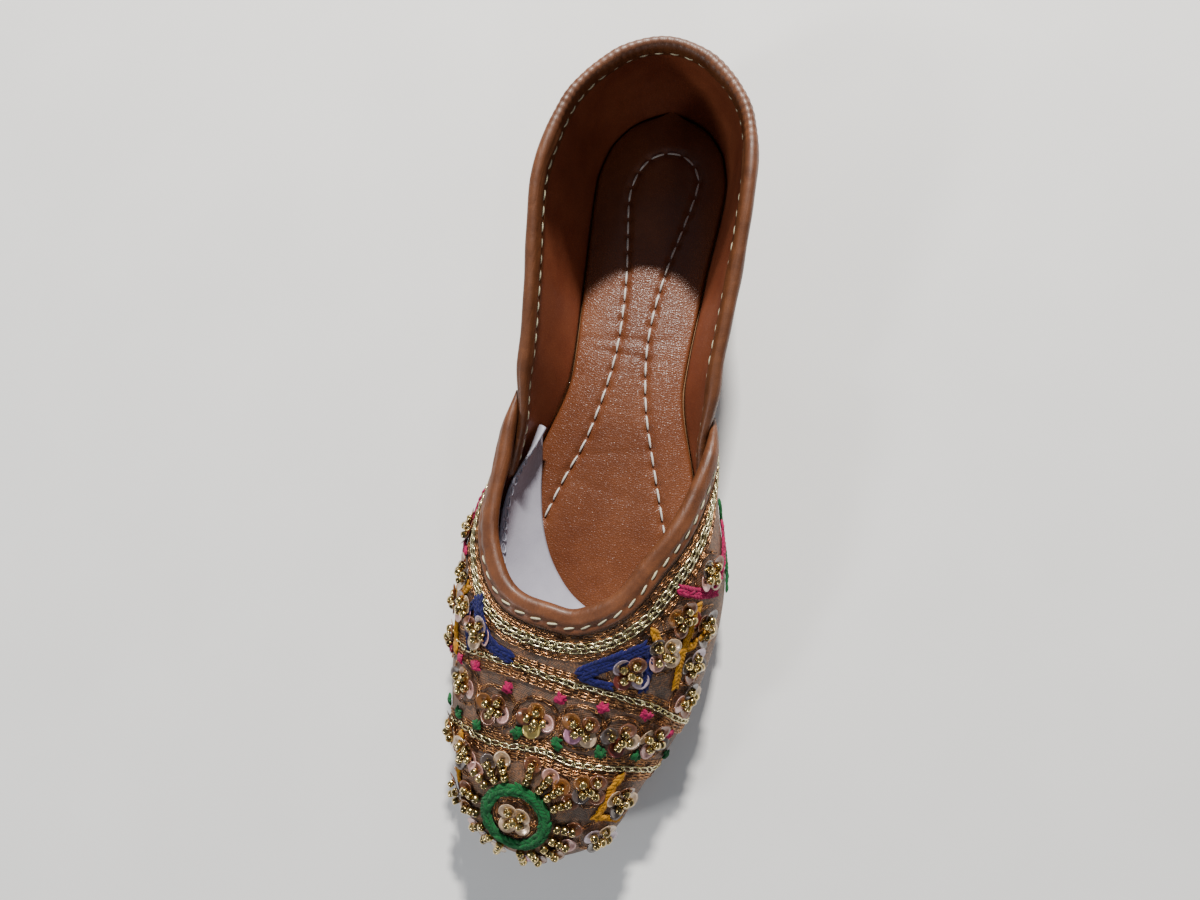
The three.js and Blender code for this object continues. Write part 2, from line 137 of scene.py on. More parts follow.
# %% The last's surface
def lift(y):
    """The sole's bend: a sine-squared arch under the waist, and a square curve up to the toe."""
    at = 0.5 - y / LENGTH
    arch = np.sin(np.pi * np.clip((at - ARCH_START) / ARCH_SPAN, 0, 1)) ** 2
    return arch + TOE_SPRING * np.clip((at - SPRING_START) / (1 - SPRING_START), 0, 1.2) ** 2


def share(turn):
    """The share of the length that an angle round the shoe stands for."""
    return (1 - np.cos(turn)) / 2


def turn_at(at):
    """The angle round the shoe at a share of the length."""
    return np.arccos(1 - 2 * np.clip(at, 0, 1))


def crest_share(at):
    """The share of the length of the crest's point that stands over a place of the feather line."""
    return CREST_START + CREST_SPAN * at


def last(turn, climb):
    """A superellipse from the feather line to the crest, which swells over the sole and leans with height.

    The swell is rise times (1 - rise) squared, and 27/4 makes its highest value one.
    """
    over = climb > np.pi / 2
    turn = np.where(over, -turn, turn)
    climb = np.where(over, np.pi - climb, climb)
    at = share(turn)
    side = np.where(np.sin(turn) < 0, -1.0, 1.0)
    edge_x = shift_at(at) + side * np.sqrt(np.maximum(half_squared(at), 0))
    crest_at = crest_share(at)
    crest_x = shift_at(crest_at)
    across = np.maximum(np.cos(climb), 0) ** (2 / ROUND)
    rise = np.maximum(np.sin(climb), 0) ** (2 / ROUND)
    high = crown(crest_at) * rise
    lean = np.where(side < 0, flare_inner(at), flare_outer(at)) * np.clip(high / LEAN_HEIGHT, 0, 1.3) ** 1.5
    out = BULGE * (27 / 4) * rise * (1 - rise) ** 2 + lean
    reach_x, reach_y = edge_x - crest_x, (crest_at - at) * LENGTH
    reach = np.hypot(reach_x, reach_y)
    x = crest_x + reach_x * across + out * reach_x / reach
    y = LENGTH * (0.5 - crest_at) + reach_y * across**2 + out * reach_y / reach
    return np.stack([x, y, FLOOR + high + lift(y)], -1)


def unit(vectors):
    """Vectors divided by their lengths."""
    return vectors / np.maximum(np.linalg.norm(vectors, axis=-1, keepdims=True), 1e-12)


def outward(turn, climb):
    """The last's outward direction, the cross product of its two slopes."""
    along = last(turn + TURN_STEP, climb) - last(turn - TURN_STEP, climb)
    up = last(turn, climb + CLIMB_STEP) - last(turn, np.maximum(climb - CLIMB_STEP, 0))
    return unit(np.cross(up, along))


def off_last(turn, climb, off):
    """A point off the surface. On the feather line it moves level, so that the sole stays clear."""
    turn, climb, off = np.broadcast_arrays(turn, climb, off)
    way = outward(turn, climb)
    way[..., 2] = np.where(climb == 0, 0, way[..., 2])
    return last(turn, climb) + unit(way) * off[..., None]


def settle(target, turn, climb):
    """The nearest place of the surface to each target: eight least-squares steps on its two slopes."""
    turn, climb = np.array(turn, float), np.array(climb, float)
    for _ in range(8):
        here = last(turn, climb)
        along = (last(turn + 1e-3, climb) - here) / 1e-3
        up = (last(turn, climb + 1e-3) - here) / 1e-3
        miss = target - here
        aa, ab, bb = (along * along).sum(-1), (along * up).sum(-1), (up * up).sum(-1)
        ma, mb = (miss * along).sum(-1), (miss * up).sum(-1)
        det = aa * bb - ab * ab
        turn = turn + np.clip((ma * bb - mb * ab) / det, -0.1, 0.1)
        climb = np.maximum(climb + np.clip((mb * aa - ma * ab) / det, -0.1, 0.1), 0.02)
    return turn, climb


def climb_to(at, top):
    """The climb at which a section reaches a height above the floor."""
    part = np.clip((top - FLOOR) / crown(crest_share(at)), 0, 1)
    return np.arcsin(part ** (ROUND / 2))


def throat_climb(turn):
    """The climb of the throat's edge, and the crest in front of it."""
    t = (share(turn) - EAR) / (THROAT_FRONT - EAR)
    inner = np.sin(turn) < 0
    wide = np.where(inner, throat_inner(np.clip(t, 0, 1)), throat_outer(np.clip(t, 0, 1)))
    return np.where(t >= 1, np.pi / 2, np.arccos(np.clip(wide, 0, 1) ** (ROUND / 2)))


def tuck(at, below):
    """How far the quarter's front ends are drawn in behind the vamp, fading downwards in the wall."""
    above = quarter_top(at) - 4 - below
    fade = (1 - smooth(below, 5, 15)) * smooth(above, 4, 14)
    return -TUCKED * smooth(at, 0.435, 0.51) * fade


def ease(turn):
    """The vamp's wall thins towards the ears, where it lies against the quarter."""
    return 0.4 + 0.6 * smooth(share(turn), EAR, EAR + 0.055)


print("ball width", np.round(2 * np.sqrt(half_squared(0.68)), 1), "mm")

# %% [markdown]
# ## Making meshes from arrays
# Every piece is a grid of points. `foreach_set` puts whole arrays into a mesh at once, which is far faster
# than adding vertices one by one. A small thing that repeats, such as a bead, is one template carried to many
# places. Geometry Nodes could do that too, but joined arrays come out the same in any viewer.


# %% Mesh helpers
def grid_faces(rows, cols, close_rows=False, close_cols=False):
    """Quads between neighbours of a grid of points, wrapping where a direction is closed."""
    i, j = np.meshgrid(np.arange(rows - (not close_rows)), np.arange(cols - (not close_cols)), indexing="ij")
    a, b = i * cols + j, i * cols + (j + 1) % cols
    down = (i + 1) % rows
    return np.stack([a, b, down * cols + (j + 1) % cols, down * cols + j], -1).reshape(-1, 4)


def new_piece(name, points, faces, paints, slot, stands_for=(), paint_of=None, uv=None, tint=None, merge=0.0):
    """A mesh object from points in millimetres. It rides on the body, and may stand for CAD nodes."""
    mesh = bpy.data.meshes.new(name)
    faces = np.asarray(faces)
    mesh.vertices.add(len(points))
    mesh.vertices.foreach_set("co", (np.asarray(points) * MM).astype(np.float32).ravel())
    mesh.loops.add(faces.size)
    mesh.loops.foreach_set("vertex_index", faces.astype(np.int32).ravel())
    mesh.polygons.add(len(faces))
    mesh.polygons.foreach_set("loop_start", np.arange(0, faces.size, faces.shape[1], dtype=np.int32))
    if paint_of is not None:
        mesh.polygons.foreach_set("material_index", np.asarray(paint_of, np.int32))
    mesh.update(calc_edges=True)
    if uv is not None:
        layer = mesh.uv_layers.new(name="surface")
        layer.data.foreach_set("uv", np.asarray(uv, np.float32)[faces.ravel()].ravel())
    if tint is not None:
        layer = mesh.color_attributes.new("tint", "FLOAT_COLOR", "POINT")
        layer.data.foreach_set("color", np.asarray(tint, np.float32).ravel())
    if merge:
        shape = bmesh.new()
        shape.from_mesh(mesh)
        bmesh.ops.remove_doubles(shape, verts=shape.verts, dist=merge * MM)
        shape.to_mesh(mesh)
        shape.free()
    mesh.polygons.foreach_set("use_smooth", np.ones(len(mesh.polygons), bool))
    for paint in paints:
        mesh.materials.append(paint)
    piece = bpy.data.objects.new(name, mesh)
    bpy.context.scene.collection.objects.link(piece)
    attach(piece, "root")
    if stands_for:
        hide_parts(*stands_for)
    count = sum(len(p.vertices) - 2 for p in mesh.polygons)
    print(f"{name}: {count} triangles")
    return piece


def scatter(template, faces, places, x_axis, y_axis, z_axis, size=1.0):
    """Copies of a template: each point is place + x X + y Y + z Z, with one frame of axes for each place."""
    size = np.broadcast_to(size, (len(places),))[:, None, None]
    axes = np.stack([x_axis, y_axis, z_axis], 1)
    points = places[:, None] + size * np.einsum("kc,ncd->nkd", template, axes)
    index = faces[None] + (np.arange(len(places)) * len(template))[:, None, None]
    return points.reshape(-1, 3), index.reshape(-1, faces.shape[1])


def tube(centres, radius, sides, closed):
    """A round section carried along a path, turned to each point's direction. It returns points and quads."""
    step = np.roll(centres, -1, 0) - np.roll(centres, 1, 0) if closed else np.gradient(centres, axis=0)
    run = unit(step)
    up = unit(np.cross(run, np.broadcast_to([0.02, 0.03, 1.0], run.shape)))
    side = np.cross(up, run)
    angle = np.linspace(0, 2 * np.pi, sides, endpoint=False)
    radius = np.broadcast_to(radius, (len(centres),))[:, None, None]
    ring = up[:, None] * np.cos(angle)[None, :, None] + side[:, None] * np.sin(angle)[None, :, None]
    points = centres[:, None] + radius * ring
    return points.reshape(-1, 3), grid_faces(len(centres), sides, close_rows=closed, close_cols=True)


def shell(rings):
    """Quads over rings of points from end to end, with a strip of quads over both ends."""
    rows, cols = rings.shape[:2]
    faces = [grid_faces(rows, cols, close_cols=True)]
    j = np.arange(cols // 2 - 1)
    cap = np.stack([j, cols - 1 - j, cols - 2 - j, j + 1], -1)
    faces += [cap, (cap + (rows - 1) * cols)[:, ::-1]]
    return np.concatenate(faces)


def wall(name, outer, inner, paints, **more):
    """Outer and inner grids of points as one closed wall. The second paint covers its edge and inside."""
    rings = np.concatenate([outer, inner[:, ::-1]], 1) + SHIFT
    faces = shell(rings)
    column = faces[:, 0] % rings.shape[1]
    climbs = outer.shape[1]
    paint_of = (column >= climbs - 1) & (column < 2 * climbs - 1)
    new_piece(name, rings.reshape(-1, 3), faces, paints, "upper", paint_of=paint_of, **more)


def joined(parts):
    """Points and faces of several parts as two arrays, with each part's faces counted on from the last."""
    starts = np.cumsum([0] + [len(points) for points, _ in parts[:-1]])
    faces = [part_faces + start for (_, part_faces), start in zip(parts, starts)]
    return np.concatenate([points for points, _ in parts]), np.concatenate(faces)


# %% [markdown]
# ## Materials as written maths
# Node trees read better as formulas. `Value` wraps a socket, and its operators add Math nodes. `Paint` makes
# one material and has one method for every other node. What varies over a surface feeds colour, roughness,
# metallic and the bump only, and what is the same everywhere is set on the shader's own sockets. Wiring the
# nodes by hand gives the same material, but is hard to read and to repeat.


# %% The material kit
class Value:
    """A number or colour that varies over a surface. Plus, minus and times add Math nodes."""

    def __init__(self, paint, socket):
        self.paint = paint
        self.socket = socket

    def maths(self, operation, a, b=0.0, clamp=False):
        return self.paint.node("ShaderNodeMath", {"operation": operation, "use_clamp": clamp}, {0: a, 1: b})

    def __add__(self, other):
        return self.maths("ADD", self, other)

    def __sub__(self, other):
        return self.maths("SUBTRACT", self, other)

    def __rsub__(self, other):
        return self.maths("SUBTRACT", other, self)

    def __mul__(self, other):
        return self.maths("MULTIPLY", self, other)

    __radd__ = __add__
    __rmul__ = __mul__

    def clamped(self):
        return self.maths("ADD", self, 0.0, clamp=True)


def colour(code):
    """A web colour as the linear values that Blender's shaders take."""
    raw = np.array([int(code[i : i + 2], 16) for i in (1, 3, 5)]) / 255
    linear = np.where(raw <= 0.04045, raw / 12.92, ((raw + 0.055) / 1.055) ** 2.4)
    return (*[float(v) for v in linear], 1.0)


class Paint:
    """One material: a Principled shader, with constants on its sockets and nodes for what varies."""

    def __init__(self, name, **constants):
        self.material = bpy.data.materials.new(name)
        self.material.use_nodes = True
        self.tree = self.material.node_tree
        self.shader = self.tree.nodes["Principled BSDF"]
        for key, value in constants.items():
            self.shader.inputs[key.replace("_", " ")].default_value = value
        self.object_place = self.node("ShaderNodeTexCoord", out="Object")

    def node(self, kind, settings=None, inputs=None, out=0):
        made = self.tree.nodes.new(kind)
        for key, value in (settings or {}).items():
            if key == "stops":
                self.stops(made.color_ramp, value)
            else:
                setattr(made, key, value)
        for key, value in (inputs or {}).items():
            if isinstance(value, Value):
                self.tree.links.new(value.socket, made.inputs[key])
            else:
                made.inputs[key].default_value = value
        return Value(self, made.outputs[out])

    def stops(self, ramp, stops):
        while len(ramp.elements) < len(stops):
            ramp.elements.new(0.5)
        for element, (place, tone) in zip(ramp.elements, stops):
            element.position = place
            element.color = tone

    def noise(self, size, detail=3.0, rough=0.55):
        """Noise whose features are about size millimetres wide."""
        inputs = {"Vector": self.object_place, "Scale": 1 / (size * MM), "Detail": detail, "Roughness": rough}
        return self.node("ShaderNodeTexNoise", None, inputs)

    def cells(self, size, where):
        """Distances to the borders between scattered cells about size millimetres wide."""
        inputs = {"Vector": where, "Scale": 1 / (size * MM)}
        return self.node("ShaderNodeTexVoronoi", {"feature": "DISTANCE_TO_EDGE"}, inputs)

    def ramp(self, value, stops):
        return self.node("ShaderNodeValToRGB", {"stops": stops}, {0: value})

    def blend(self, share, a, b, mode="MIX"):
        settings = {"data_type": "RGBA", "blend_type": mode}
        return self.node("ShaderNodeMix", settings, {0: share, 6: a, 7: b}, out=2)

    def tinted(self, shade):
        """The tint stored on the points, multiplied by a shade."""
        tint = self.node("ShaderNodeAttribute", {"attribute_name": "tint"}, out="Color")
        return self.blend(1.0, tint, shade, "MULTIPLY")

    def bump(self, height, depth, normal=None):
        """A bump whose full height is depth millimetres."""
        inputs = {"Height": height, "Distance": depth * MM, "Strength": 1.0}
        if normal is not None:
            inputs["Normal"] = normal
        return self.node("ShaderNodeBump", None, inputs)

    def use(self, **links):
        for key, value in links.items():
            self.tree.links.new(value.socket, self.shader.inputs[key.replace("_", " ")])
        return self.material


# %% [markdown]
# ## Leathers
# All the leathers are one recipe: a base tone mottled by slow noise, fine pores from cells, and a bump. The
# sock's leather is pressed with a pebble and polished, the quarter's is nearly smooth, and the sole's is dry.
# A picture of leather would blur close up, and this pattern stays sharp at any distance.


# %% Leather paints
def leather(name, dark, light, rough, pore, depth, coat=0.0, mottle=9.0, crease=0.0):
    """Mottled leather: two tones by slow noise, darker in the pores, which are pressed in by the bump.

    rough is the least roughness. pore, mottle and crease are widths and depth is the bump's height, all in
    millimetres. The pores' cells are bent by noise, so that they look less like a honeycomb.
    """
    paint = Paint(name, Coat_Weight=coat, Coat_Roughness=0.2, Specular_IOR_Level=0.45)
    slow = paint.noise(mottle, detail=5.0, rough=0.6)
    fine = paint.noise(pore * 0.7, detail=2.0)
    bend_inputs = {0: paint.noise(pore * 2.5), "Scale": pore * MM}
    bend = paint.node("ShaderNodeVectorMath", {"operation": "SCALE"}, bend_inputs)
    bent = paint.node("ShaderNodeVectorMath", None, {0: paint.object_place, 1: bend})
    grain = (paint.cells(pore, bent) * 2.4).clamped()
    coarse = (paint.cells(pore * 2.3, bent) * 1.6).clamped()
    tone = paint.ramp(slow * 0.75 + fine * 0.25, [(0.34, colour(dark)), (0.66, colour(light))])
    tone = paint.blend(0.3 * (1 - grain), tone, colour(dark), "MULTIPLY")
    normal = paint.bump(grain * 0.6 + coarse * 0.22 + fine * 0.18, depth)
    if crease:
        stretch = {"Vector": paint.object_place, "Scale": (1.0, 0.25, 1.0)}
        lines = paint.cells(crease, paint.node("ShaderNodeMapping", None, stretch))
        normal = paint.bump((lines * 6.0).clamped(), depth * 1.5, normal)
    return paint.use(Base_Color=tone, Roughness=rough + 0.16 * slow - 0.08 * grain, Normal=normal)


TAN = leather("tan leather", "#5f3b22", "#744b2e", 0.46, 0.55, 0.04, coat=0.08, mottle=22.0)
BINDING_TAN = leather(
    "binding leather", "#5a3219", "#7a4827", 0.46, 0.5, 0.03, coat=0.05, mottle=6.0, crease=2.6,
)
LINING = leather("quarter lining", "#7c3e25", "#965434", 0.44, 0.7, 0.04, coat=0.1, mottle=14.0)
SOCK = leather("pebbled sock leather", "#6a381d", "#804a2a", 0.31, 0.66, 0.13, coat=0.26, mottle=16.0)
SOLE = leather("sole leather", "#7d5836", "#a37a50", 0.62, 0.9, 0.05, mottle=14.0)
print("leathers:", [m.name for m in (TAN, BINDING_TAN, LINING, SOCK, SOLE)])


# %% [markdown]
# ## Threads, wool, beads and cloth
# Metal wire, loose wool, lined glass beads and pearly sequins differ most in how they shine. So each gets
# its own gloss and coat, and a noise for its changes of tone; on the metal wire that noise also paints glints
# and shade. The vamp's cloth has a weave drawn by two sine waves on the piece's own map, so that it follows
# the curved toe. Real woven threads would take millions of faces and look the same at this distance.


# %% Thread, wool, bead and cloth paints
def metal_thread(name, dark, light, rough, glint_patch, wound):
    """Flat metal wire wound round a core: tones that change in patches, and a wound bump. The patches' light
    tones are painted glints and their dark tones painted shade.
    """
    paint = Paint(name, Metallic=1.0)
    slow = paint.noise(glint_patch, detail=2.0)
    fine = paint.noise(0.3, detail=1.0)
    tone = paint.ramp(slow * 0.75 + fine * 0.25, [(0.38, colour(dark)), (0.6, colour(light))])
    return paint.use(Base_Color=tone, Roughness=rough + 0.16 * fine, Normal=paint.bump(fine, wound))


def wool_paint():
    """Loose wool: each place's own tint, darker between fibres, with a soft fuzzy bump and sheen."""
    paint = Paint("wool", Roughness=0.95, Sheen_Weight=0.12, Sheen_Roughness=0.6, Specular_IOR_Level=0.1)
    fibre = paint.noise(0.22, detail=4.0, rough=0.75)
    clump = paint.noise(1.3, detail=2.0)
    shade = paint.ramp(fibre * 0.6 + clump * 0.4, [(0.32, (0.3, 0.3, 0.3, 1)), (0.62, (1.1, 1.1, 1.1, 1))])
    return paint.use(Base_Color=paint.tinted(shade), Normal=paint.bump(fibre, 0.3))


def bead_paint():
    """Antique gold glass: a metal lining seen through a clear coat, darker in places."""
    paint = Paint("antique gold bead", Coat_Weight=0.8, Coat_Roughness=0.05, Metallic=1.0)
    patch = paint.noise(2.2, detail=2.0)
    tone = paint.ramp(patch, [(0.34, colour("#64501f")), (0.62, colour("#e2c47a"))])
    return paint.use(Base_Color=tone, Roughness=0.1 + 0.16 * patch)


def sequin_paint():
    """Thin pearly plastic in each sequin's own tint, with a clear gloss."""
    paint = Paint("sequin", Coat_Weight=0.7, Coat_Roughness=0.08, Specular_IOR_Level=0.6)
    patch = paint.noise(3.0, detail=2.0)
    shade = paint.ramp(patch, [(0.3, (0.86, 0.83, 0.80, 1)), (0.7, (1.22, 1.18, 1.14, 1))])
    rough, metal = 0.22 + 0.15 * patch, 0.25 + 0.15 * patch
    return paint.use(Base_Color=paint.tinted(shade), Roughness=rough, Metallic=metal)


WEAVE_PITCH = 0.9


def vamp_cloth():
    """Grey-brown ground woven with copper wire: a plain weave on the piece's own map, in millimetres."""
    paint = Paint("copper cloth", Specular_IOR_Level=0.5)
    place = paint.node("ShaderNodeUVMap", {"uv_map": "surface"})
    along = paint.node("ShaderNodeSeparateXYZ", None, {0: place})
    across = Value(paint, along.socket.node.outputs[1])
    waves = 2 * np.pi / WEAVE_PITCH
    warp = along.maths("SINE", along * waves) * 0.5 + 0.5
    weft = across.maths("SINE", across * waves) * 0.5 + 0.5
    weave = warp * weft + (1 - warp) * (1 - weft)
    patch = paint.noise(7.0, detail=4.0, rough=0.65)
    glitter = paint.noise(0.55, detail=2.0)
    metal = (0.35 + (patch - 0.5) * 2.0 + (glitter - 0.5) * 1.6).clamped()
    ground = paint.ramp(paint.noise(2.5), [(0.3, colour("#433730")), (0.7, colour("#6b5a4e"))])
    wire = paint.ramp(glitter, [(0.35, colour("#67422c")), (0.62, colour("#b07a52"))])
    return paint.use(
        Base_Color=paint.blend(metal * 0.8, ground, wire),
        Metallic=metal * 0.58,
        Roughness=0.64 - 0.2 * metal,
        Normal=paint.bump(weave * 0.85 + glitter * 0.15, 0.14),
    )


def thread_paint(name, dark, light, rough=0.6):
    """Twisted cotton or silk: soft tone changes and a fine twist in the bump."""
    paint = Paint(name, Roughness=rough, Sheen_Weight=0.15)
    twist = paint.noise(0.35, detail=2.0)
    tone = paint.ramp(twist, [(0.32, colour(dark)), (0.66, colour(light))])
    return paint.use(Base_Color=tone, Normal=paint.bump(twist, 0.1))


def white_lining():
    """Smooth white coated cloth with slow soft dents."""
    paint = Paint("white lining", Specular_IOR_Level=0.4, Roughness=0.42)
    slow = paint.noise(16.0, detail=3.0)
    tone = paint.ramp(slow, [(0.3, colour("#9d9caa")), (0.7, colour("#afaebb"))])
    return paint.use(Base_Color=tone, Normal=paint.bump(slow * 0.8 + paint.noise(0.5) * 0.2, 0.25))


# the metal threads' light tones are painted glints and their dark tones painted shade
GOLD = metal_thread("pale gold thread", "#978550", "#fbf0c2", 0.16, 1.8, 0.06)
COPPER = metal_thread("copper thread", "#4f3424", "#d49a68", 0.22, 3.2, 0.03)
WOOL = wool_paint()
BEAD = bead_paint()
SEQUIN = sequin_paint()
CLOTH = vamp_cloth()
CREAM = thread_paint("cream thread", "#a8a07c", "#ddd6b4")
WHITE_THREAD = thread_paint("white thread", "#b9b2a8", "#f0ece4", rough=0.45)
WHITE = white_lining()
print("paints made:", len(bpy.data.materials))

# %% [markdown]
# ## Sole and sock
# The outsole is one thickness of leather cut to the feather line plus a small margin. Its section, from the
# middle of its underside round its edge to the middle of its top, is carried round the whole outline. The
# sock is made the same way, but padded: it crowns across, rolls at its rim, and the long loop of stitches
# pulls it down. An extruded outline would be quicker, but has no toe spring, rolled rim or dents.


# %% Slabs on the foot's outline
def foot_slab(stations, section):
    """A section carried round from toe to toe: rows of (share of the half width, margin, height)."""
    turn = np.linspace(-np.pi, np.pi, stations)
    rim = last(turn, 0 * turn)
    run = last(turn + TURN_STEP, 0 * turn) - last(turn - TURN_STEP, 0 * turn)
    run[:, 2] = 0
    run = unit(run)
    level_out = np.stack([-run[:, 1], run[:, 0]], -1)
    from_crest = rim[:, :2] - last(turn, 0 * turn + np.pi / 2)[:, :2]
    level_out *= np.sign((level_out * from_crest).sum(-1))[:, None]
    middle = np.stack([shift_at(share(turn)), rim[:, 1]], -1)
    wide, margin, height = np.asarray(section, float).T
    edge = rim[:, None, :2] + level_out[:, None] * margin[None, :, None]
    plan = middle[:, None] + (edge - middle[:, None]) * wide[None, :, None]
    return np.concatenate([plan, (height[None] + lift(plan[..., 1]))[..., None]], -1)


def slab_piece(name, points, paint, slot, node):
    """A slab's rows of points as a closed mesh, with its doubled points merged."""
    faces = grid_faces(*points.shape[:2])
    return new_piece(name, points.reshape(-1, 3) + SHIFT, faces, [paint], slot, [node], merge=0.004)


def outsole():
    """A flat underside, a rounded edge and a flat top, 4 mm higher."""
    across = np.linspace(0, 1, 18)
    under = [(s, SOLE_MARGIN - 0.7, 0.0) for s in across]
    edge = [(1, 0.55, 0.08), (1, 0.9, 0.4), (1, 1.0, 0.9), (1, 1.05, 2.0), (1, 1.0, 3.2), (1, 0.85, 3.75)]
    top = [(s, 0.5, 4.0) for s in across[::-1]]
    slab_piece("outsole_leather", foot_slab(420, under + edge + top), SOLE, "sole_leather", "outsole")


# x and y of the sock's line of stitches, from the outer front end round the heel to the inner front end
SOCK_STITCHES = np.array([
    [20.6, -27.9], [17.0, -16.8], [12.4, -2.6], [8.2, 11.2], [5.6, 24.8], [4.5, 38.2], [5.3, 51.9],
    [7.3, 65.5], [10.4, 79.6], [13.0, 94.2], [11.6, 100.6], [5.6, 105.6], [-2.6, 105.0], [-8.0, 99.0],
    [-10.2, 89.0], [-8.5, 74.7], [-6.3, 57.7], [-5.3, 38.0], [-6.5, 21.5], [-10.5, 1.6], [-15.7, -12.7],
    [-20.1, -26.9],
])
# from hole to hole, and each stitch's length
SOCK_PITCH, SOCK_STITCH = 6.0, 4.5
# the padded top: how far it stays in from the feather line, its height at the rim, and its crown
SOCK_IN, SOCK_RIM, SOCK_CROWN = 2.9, 2.05, 0.75
FINE_STEP = 0.5


def resample(path, pitch):
    """Points a constant distance apart along a path, by its running length."""
    length = np.concatenate([[0], np.cumsum(np.linalg.norm(np.diff(path, axis=0), axis=1))])
    count = max(int(round(length[-1] / pitch)), 1)
    even = np.linspace(0, length[-1], count + 1)
    return np.stack([np.interp(even, length, path[:, k]) for k in range(path.shape[1])], -1)


def rounded(path, per=12):
    """A Catmull-Rom curve through a path's points."""
    padded = np.concatenate([2 * path[:1] - path[1:2], path, 2 * path[-1:] - path[-2:-1]])
    t = np.linspace(0, 1, per, endpoint=False)[None, :, None]
    a, b, c, d = (padded[k : len(padded) - 3 + k, None] for k in range(4))
    spans = 0.5 * (2 * b + (c - a) * t + (2 * a - 5 * b + 4 * c - d) * t**2 + (3 * b - a - 3 * c + d) * t**3)
    return np.concatenate([spans.reshape(-1, path.shape[1]), path[-1:]])


SOCK_LINE = resample(rounded(SOCK_STITCHES), FINE_STEP)
SOCK_HOLES = resample(rounded(SOCK_STITCHES), SOCK_PITCH)


def squared_gap(points, path):
    """The squared distance from each point to the nearest point of a path."""
    gap = np.full(len(points), np.inf)
    for place in path:
        gap = np.minimum(gap, ((points - place) ** 2).sum(-1))
    return gap


def sock_dents(plan):
    """Depth of the stitches' pull: a bell-shaped trough along the line, and a dimple at each needle hole."""
    flat = plan.reshape(-1, 2)
    trough = 0.5 * np.exp(-squared_gap(flat, SOCK_LINE) / 1.6**2)
    dimples = 0.45 * np.exp(-squared_gap(flat, SOCK_HOLES) / 1.3**2)
    return (trough + dimples).reshape(plan.shape[:-1])


# soft creases across the sock: centre y, half width along y, depth, slant
SOCK_CREASES = [
    (37.0, 1.2, 0.22, 0.10), (31.5, 0.9, 0.16, -0.06), (-2.0, 1.6, 0.12, 0.2), (-15.0, 1.8, 0.1, -0.15),
]


def sock_top(plan):
    """Height added to the padded top: the pull of the stitches, and the listed creases across the waist."""
    x, y = plan[..., 0], plan[..., 1]
    height = -sock_dents(plan)
    for centre, wide, deep, slant in SOCK_CREASES:
        height -= deep * np.exp(-(((y - centre - slant * x) / wide) ** 2)) * np.exp(-((x + 4) / 14) ** 2)
    return height


def sock():
    """A padded insole: level under, a rolled rim, and a crowned top that meets the walls."""
    across = np.linspace(0, 1, 64)
    under = [(s, -2.3, FLOOR + 0.05) for s in across[::4]]
    rim = [(1, -2.0, FLOOR + 0.3), (1, -1.95, FLOOR + 1.0), (1, -2.1, FLOOR + 1.5), (1, -2.5, FLOOR + 1.85)]
    top = [(s, -SOCK_IN, FLOOR + SOCK_RIM + SOCK_CROWN * (1 - s**4)) for s in across[::-1]]
    points = foot_slab(900, under + rim + top)
    upper = slice(len(under) + len(rim), None)
    points[:, upper, 2] += sock_top(points[:, upper, :2])
    made = slab_piece("padded_sock", points, SOCK, "sock_leather", "insole")


def stitch_shape(length, thick, sides=6, rings=7):
    """A stitch: a round thread that rises out of its hole, lies flat and dives into the next."""
    t = np.linspace(0, 1, rings)
    x = (t - 0.5) * length
    z = 0.62 * thick * np.sin(np.pi * t) ** 0.5 - 0.2 * thick
    centres = np.stack([x, 0 * x, z], -1)
    return tube(centres, thick / 2 * (0.55 + 0.45 * np.sin(np.pi * t) ** 0.5), sides, False)


def sock_stitching():
    """White running stitches laid in the trough of the sock."""
    template, faces = stitch_shape(SOCK_STITCH, 0.75)
    start, end = SOCK_HOLES[:-1], SOCK_HOLES[1:]
    middle = (start + end) / 2
    run = unit(np.concatenate([end - start, 0 * start[:, :1]], -1))
    across = np.stack([-run[:, 1], run[:, 0], 0 * run[:, 0]], -1)
    edge = np.sqrt(half_squared(0.5 - middle[:, 1] / LENGTH)) - SOCK_IN
    crown_here = SOCK_CROWN * (1 - np.clip(np.abs(middle[:, 0]) / edge, 0, 1) ** 4)
    trough = 0.38
    z = FLOOR + SOCK_RIM + crown_here - trough + lift(middle[:, 1])
    places = np.column_stack([middle, z])
    up = np.broadcast_to([0.0, 0.0, 1.0], places.shape)
    points, quads = scatter(template, faces, places, run, across, up)
    new_piece("sock_stitching", points + SHIFT, quads, [WHITE_THREAD], "sock_leather")


outsole()
sock()
sock_stitching()


# %% [markdown]
# ## The quarter
# The quarter is one strip of leather round the heel, lined, with its front ends drawn in behind the vamp. Its
# wall is two faces of the last with a flat edge between them, which the binding covers, and the lining is the
# inner face. A Solidify modifier could give the thickness, but not the lining's own paint so simply.


# %% Quarter wall
def quarter():
    """The outer face up from the feather line, and the lining inside it. The leather sags in slow waves."""
    turn = turn_at(LAP_END) * np.linspace(-1, 1, 420)
    at = share(turn)
    t = np.linspace(0, 1, 44) ** 1.05
    climb = climb_to(at, quarter_top(at))[:, None] * t[None]
    turns = np.broadcast_to(turn[:, None], climb.shape)
    here = last(turns, climb)
    below = quarter_top(at)[:, None] - (here[..., 2] - lift(here[..., 1]))
    drawn = np.where(climb == 0, 0, tuck(at[:, None], below))
    wave = np.sin(at[:, None] * 46 + 3 * t[None])
    sag = 0.35 * wave * np.sin(np.pi * t[None]) * smooth(at[:, None], 0.1, 0.3)
    outer = off_last(turns, climb, drawn + sag)
    inner = off_last(turns, climb, drawn + sag - QUARTER_WALL)
    wall("quarter", outer, inner, [TAN, LINING])


quarter()


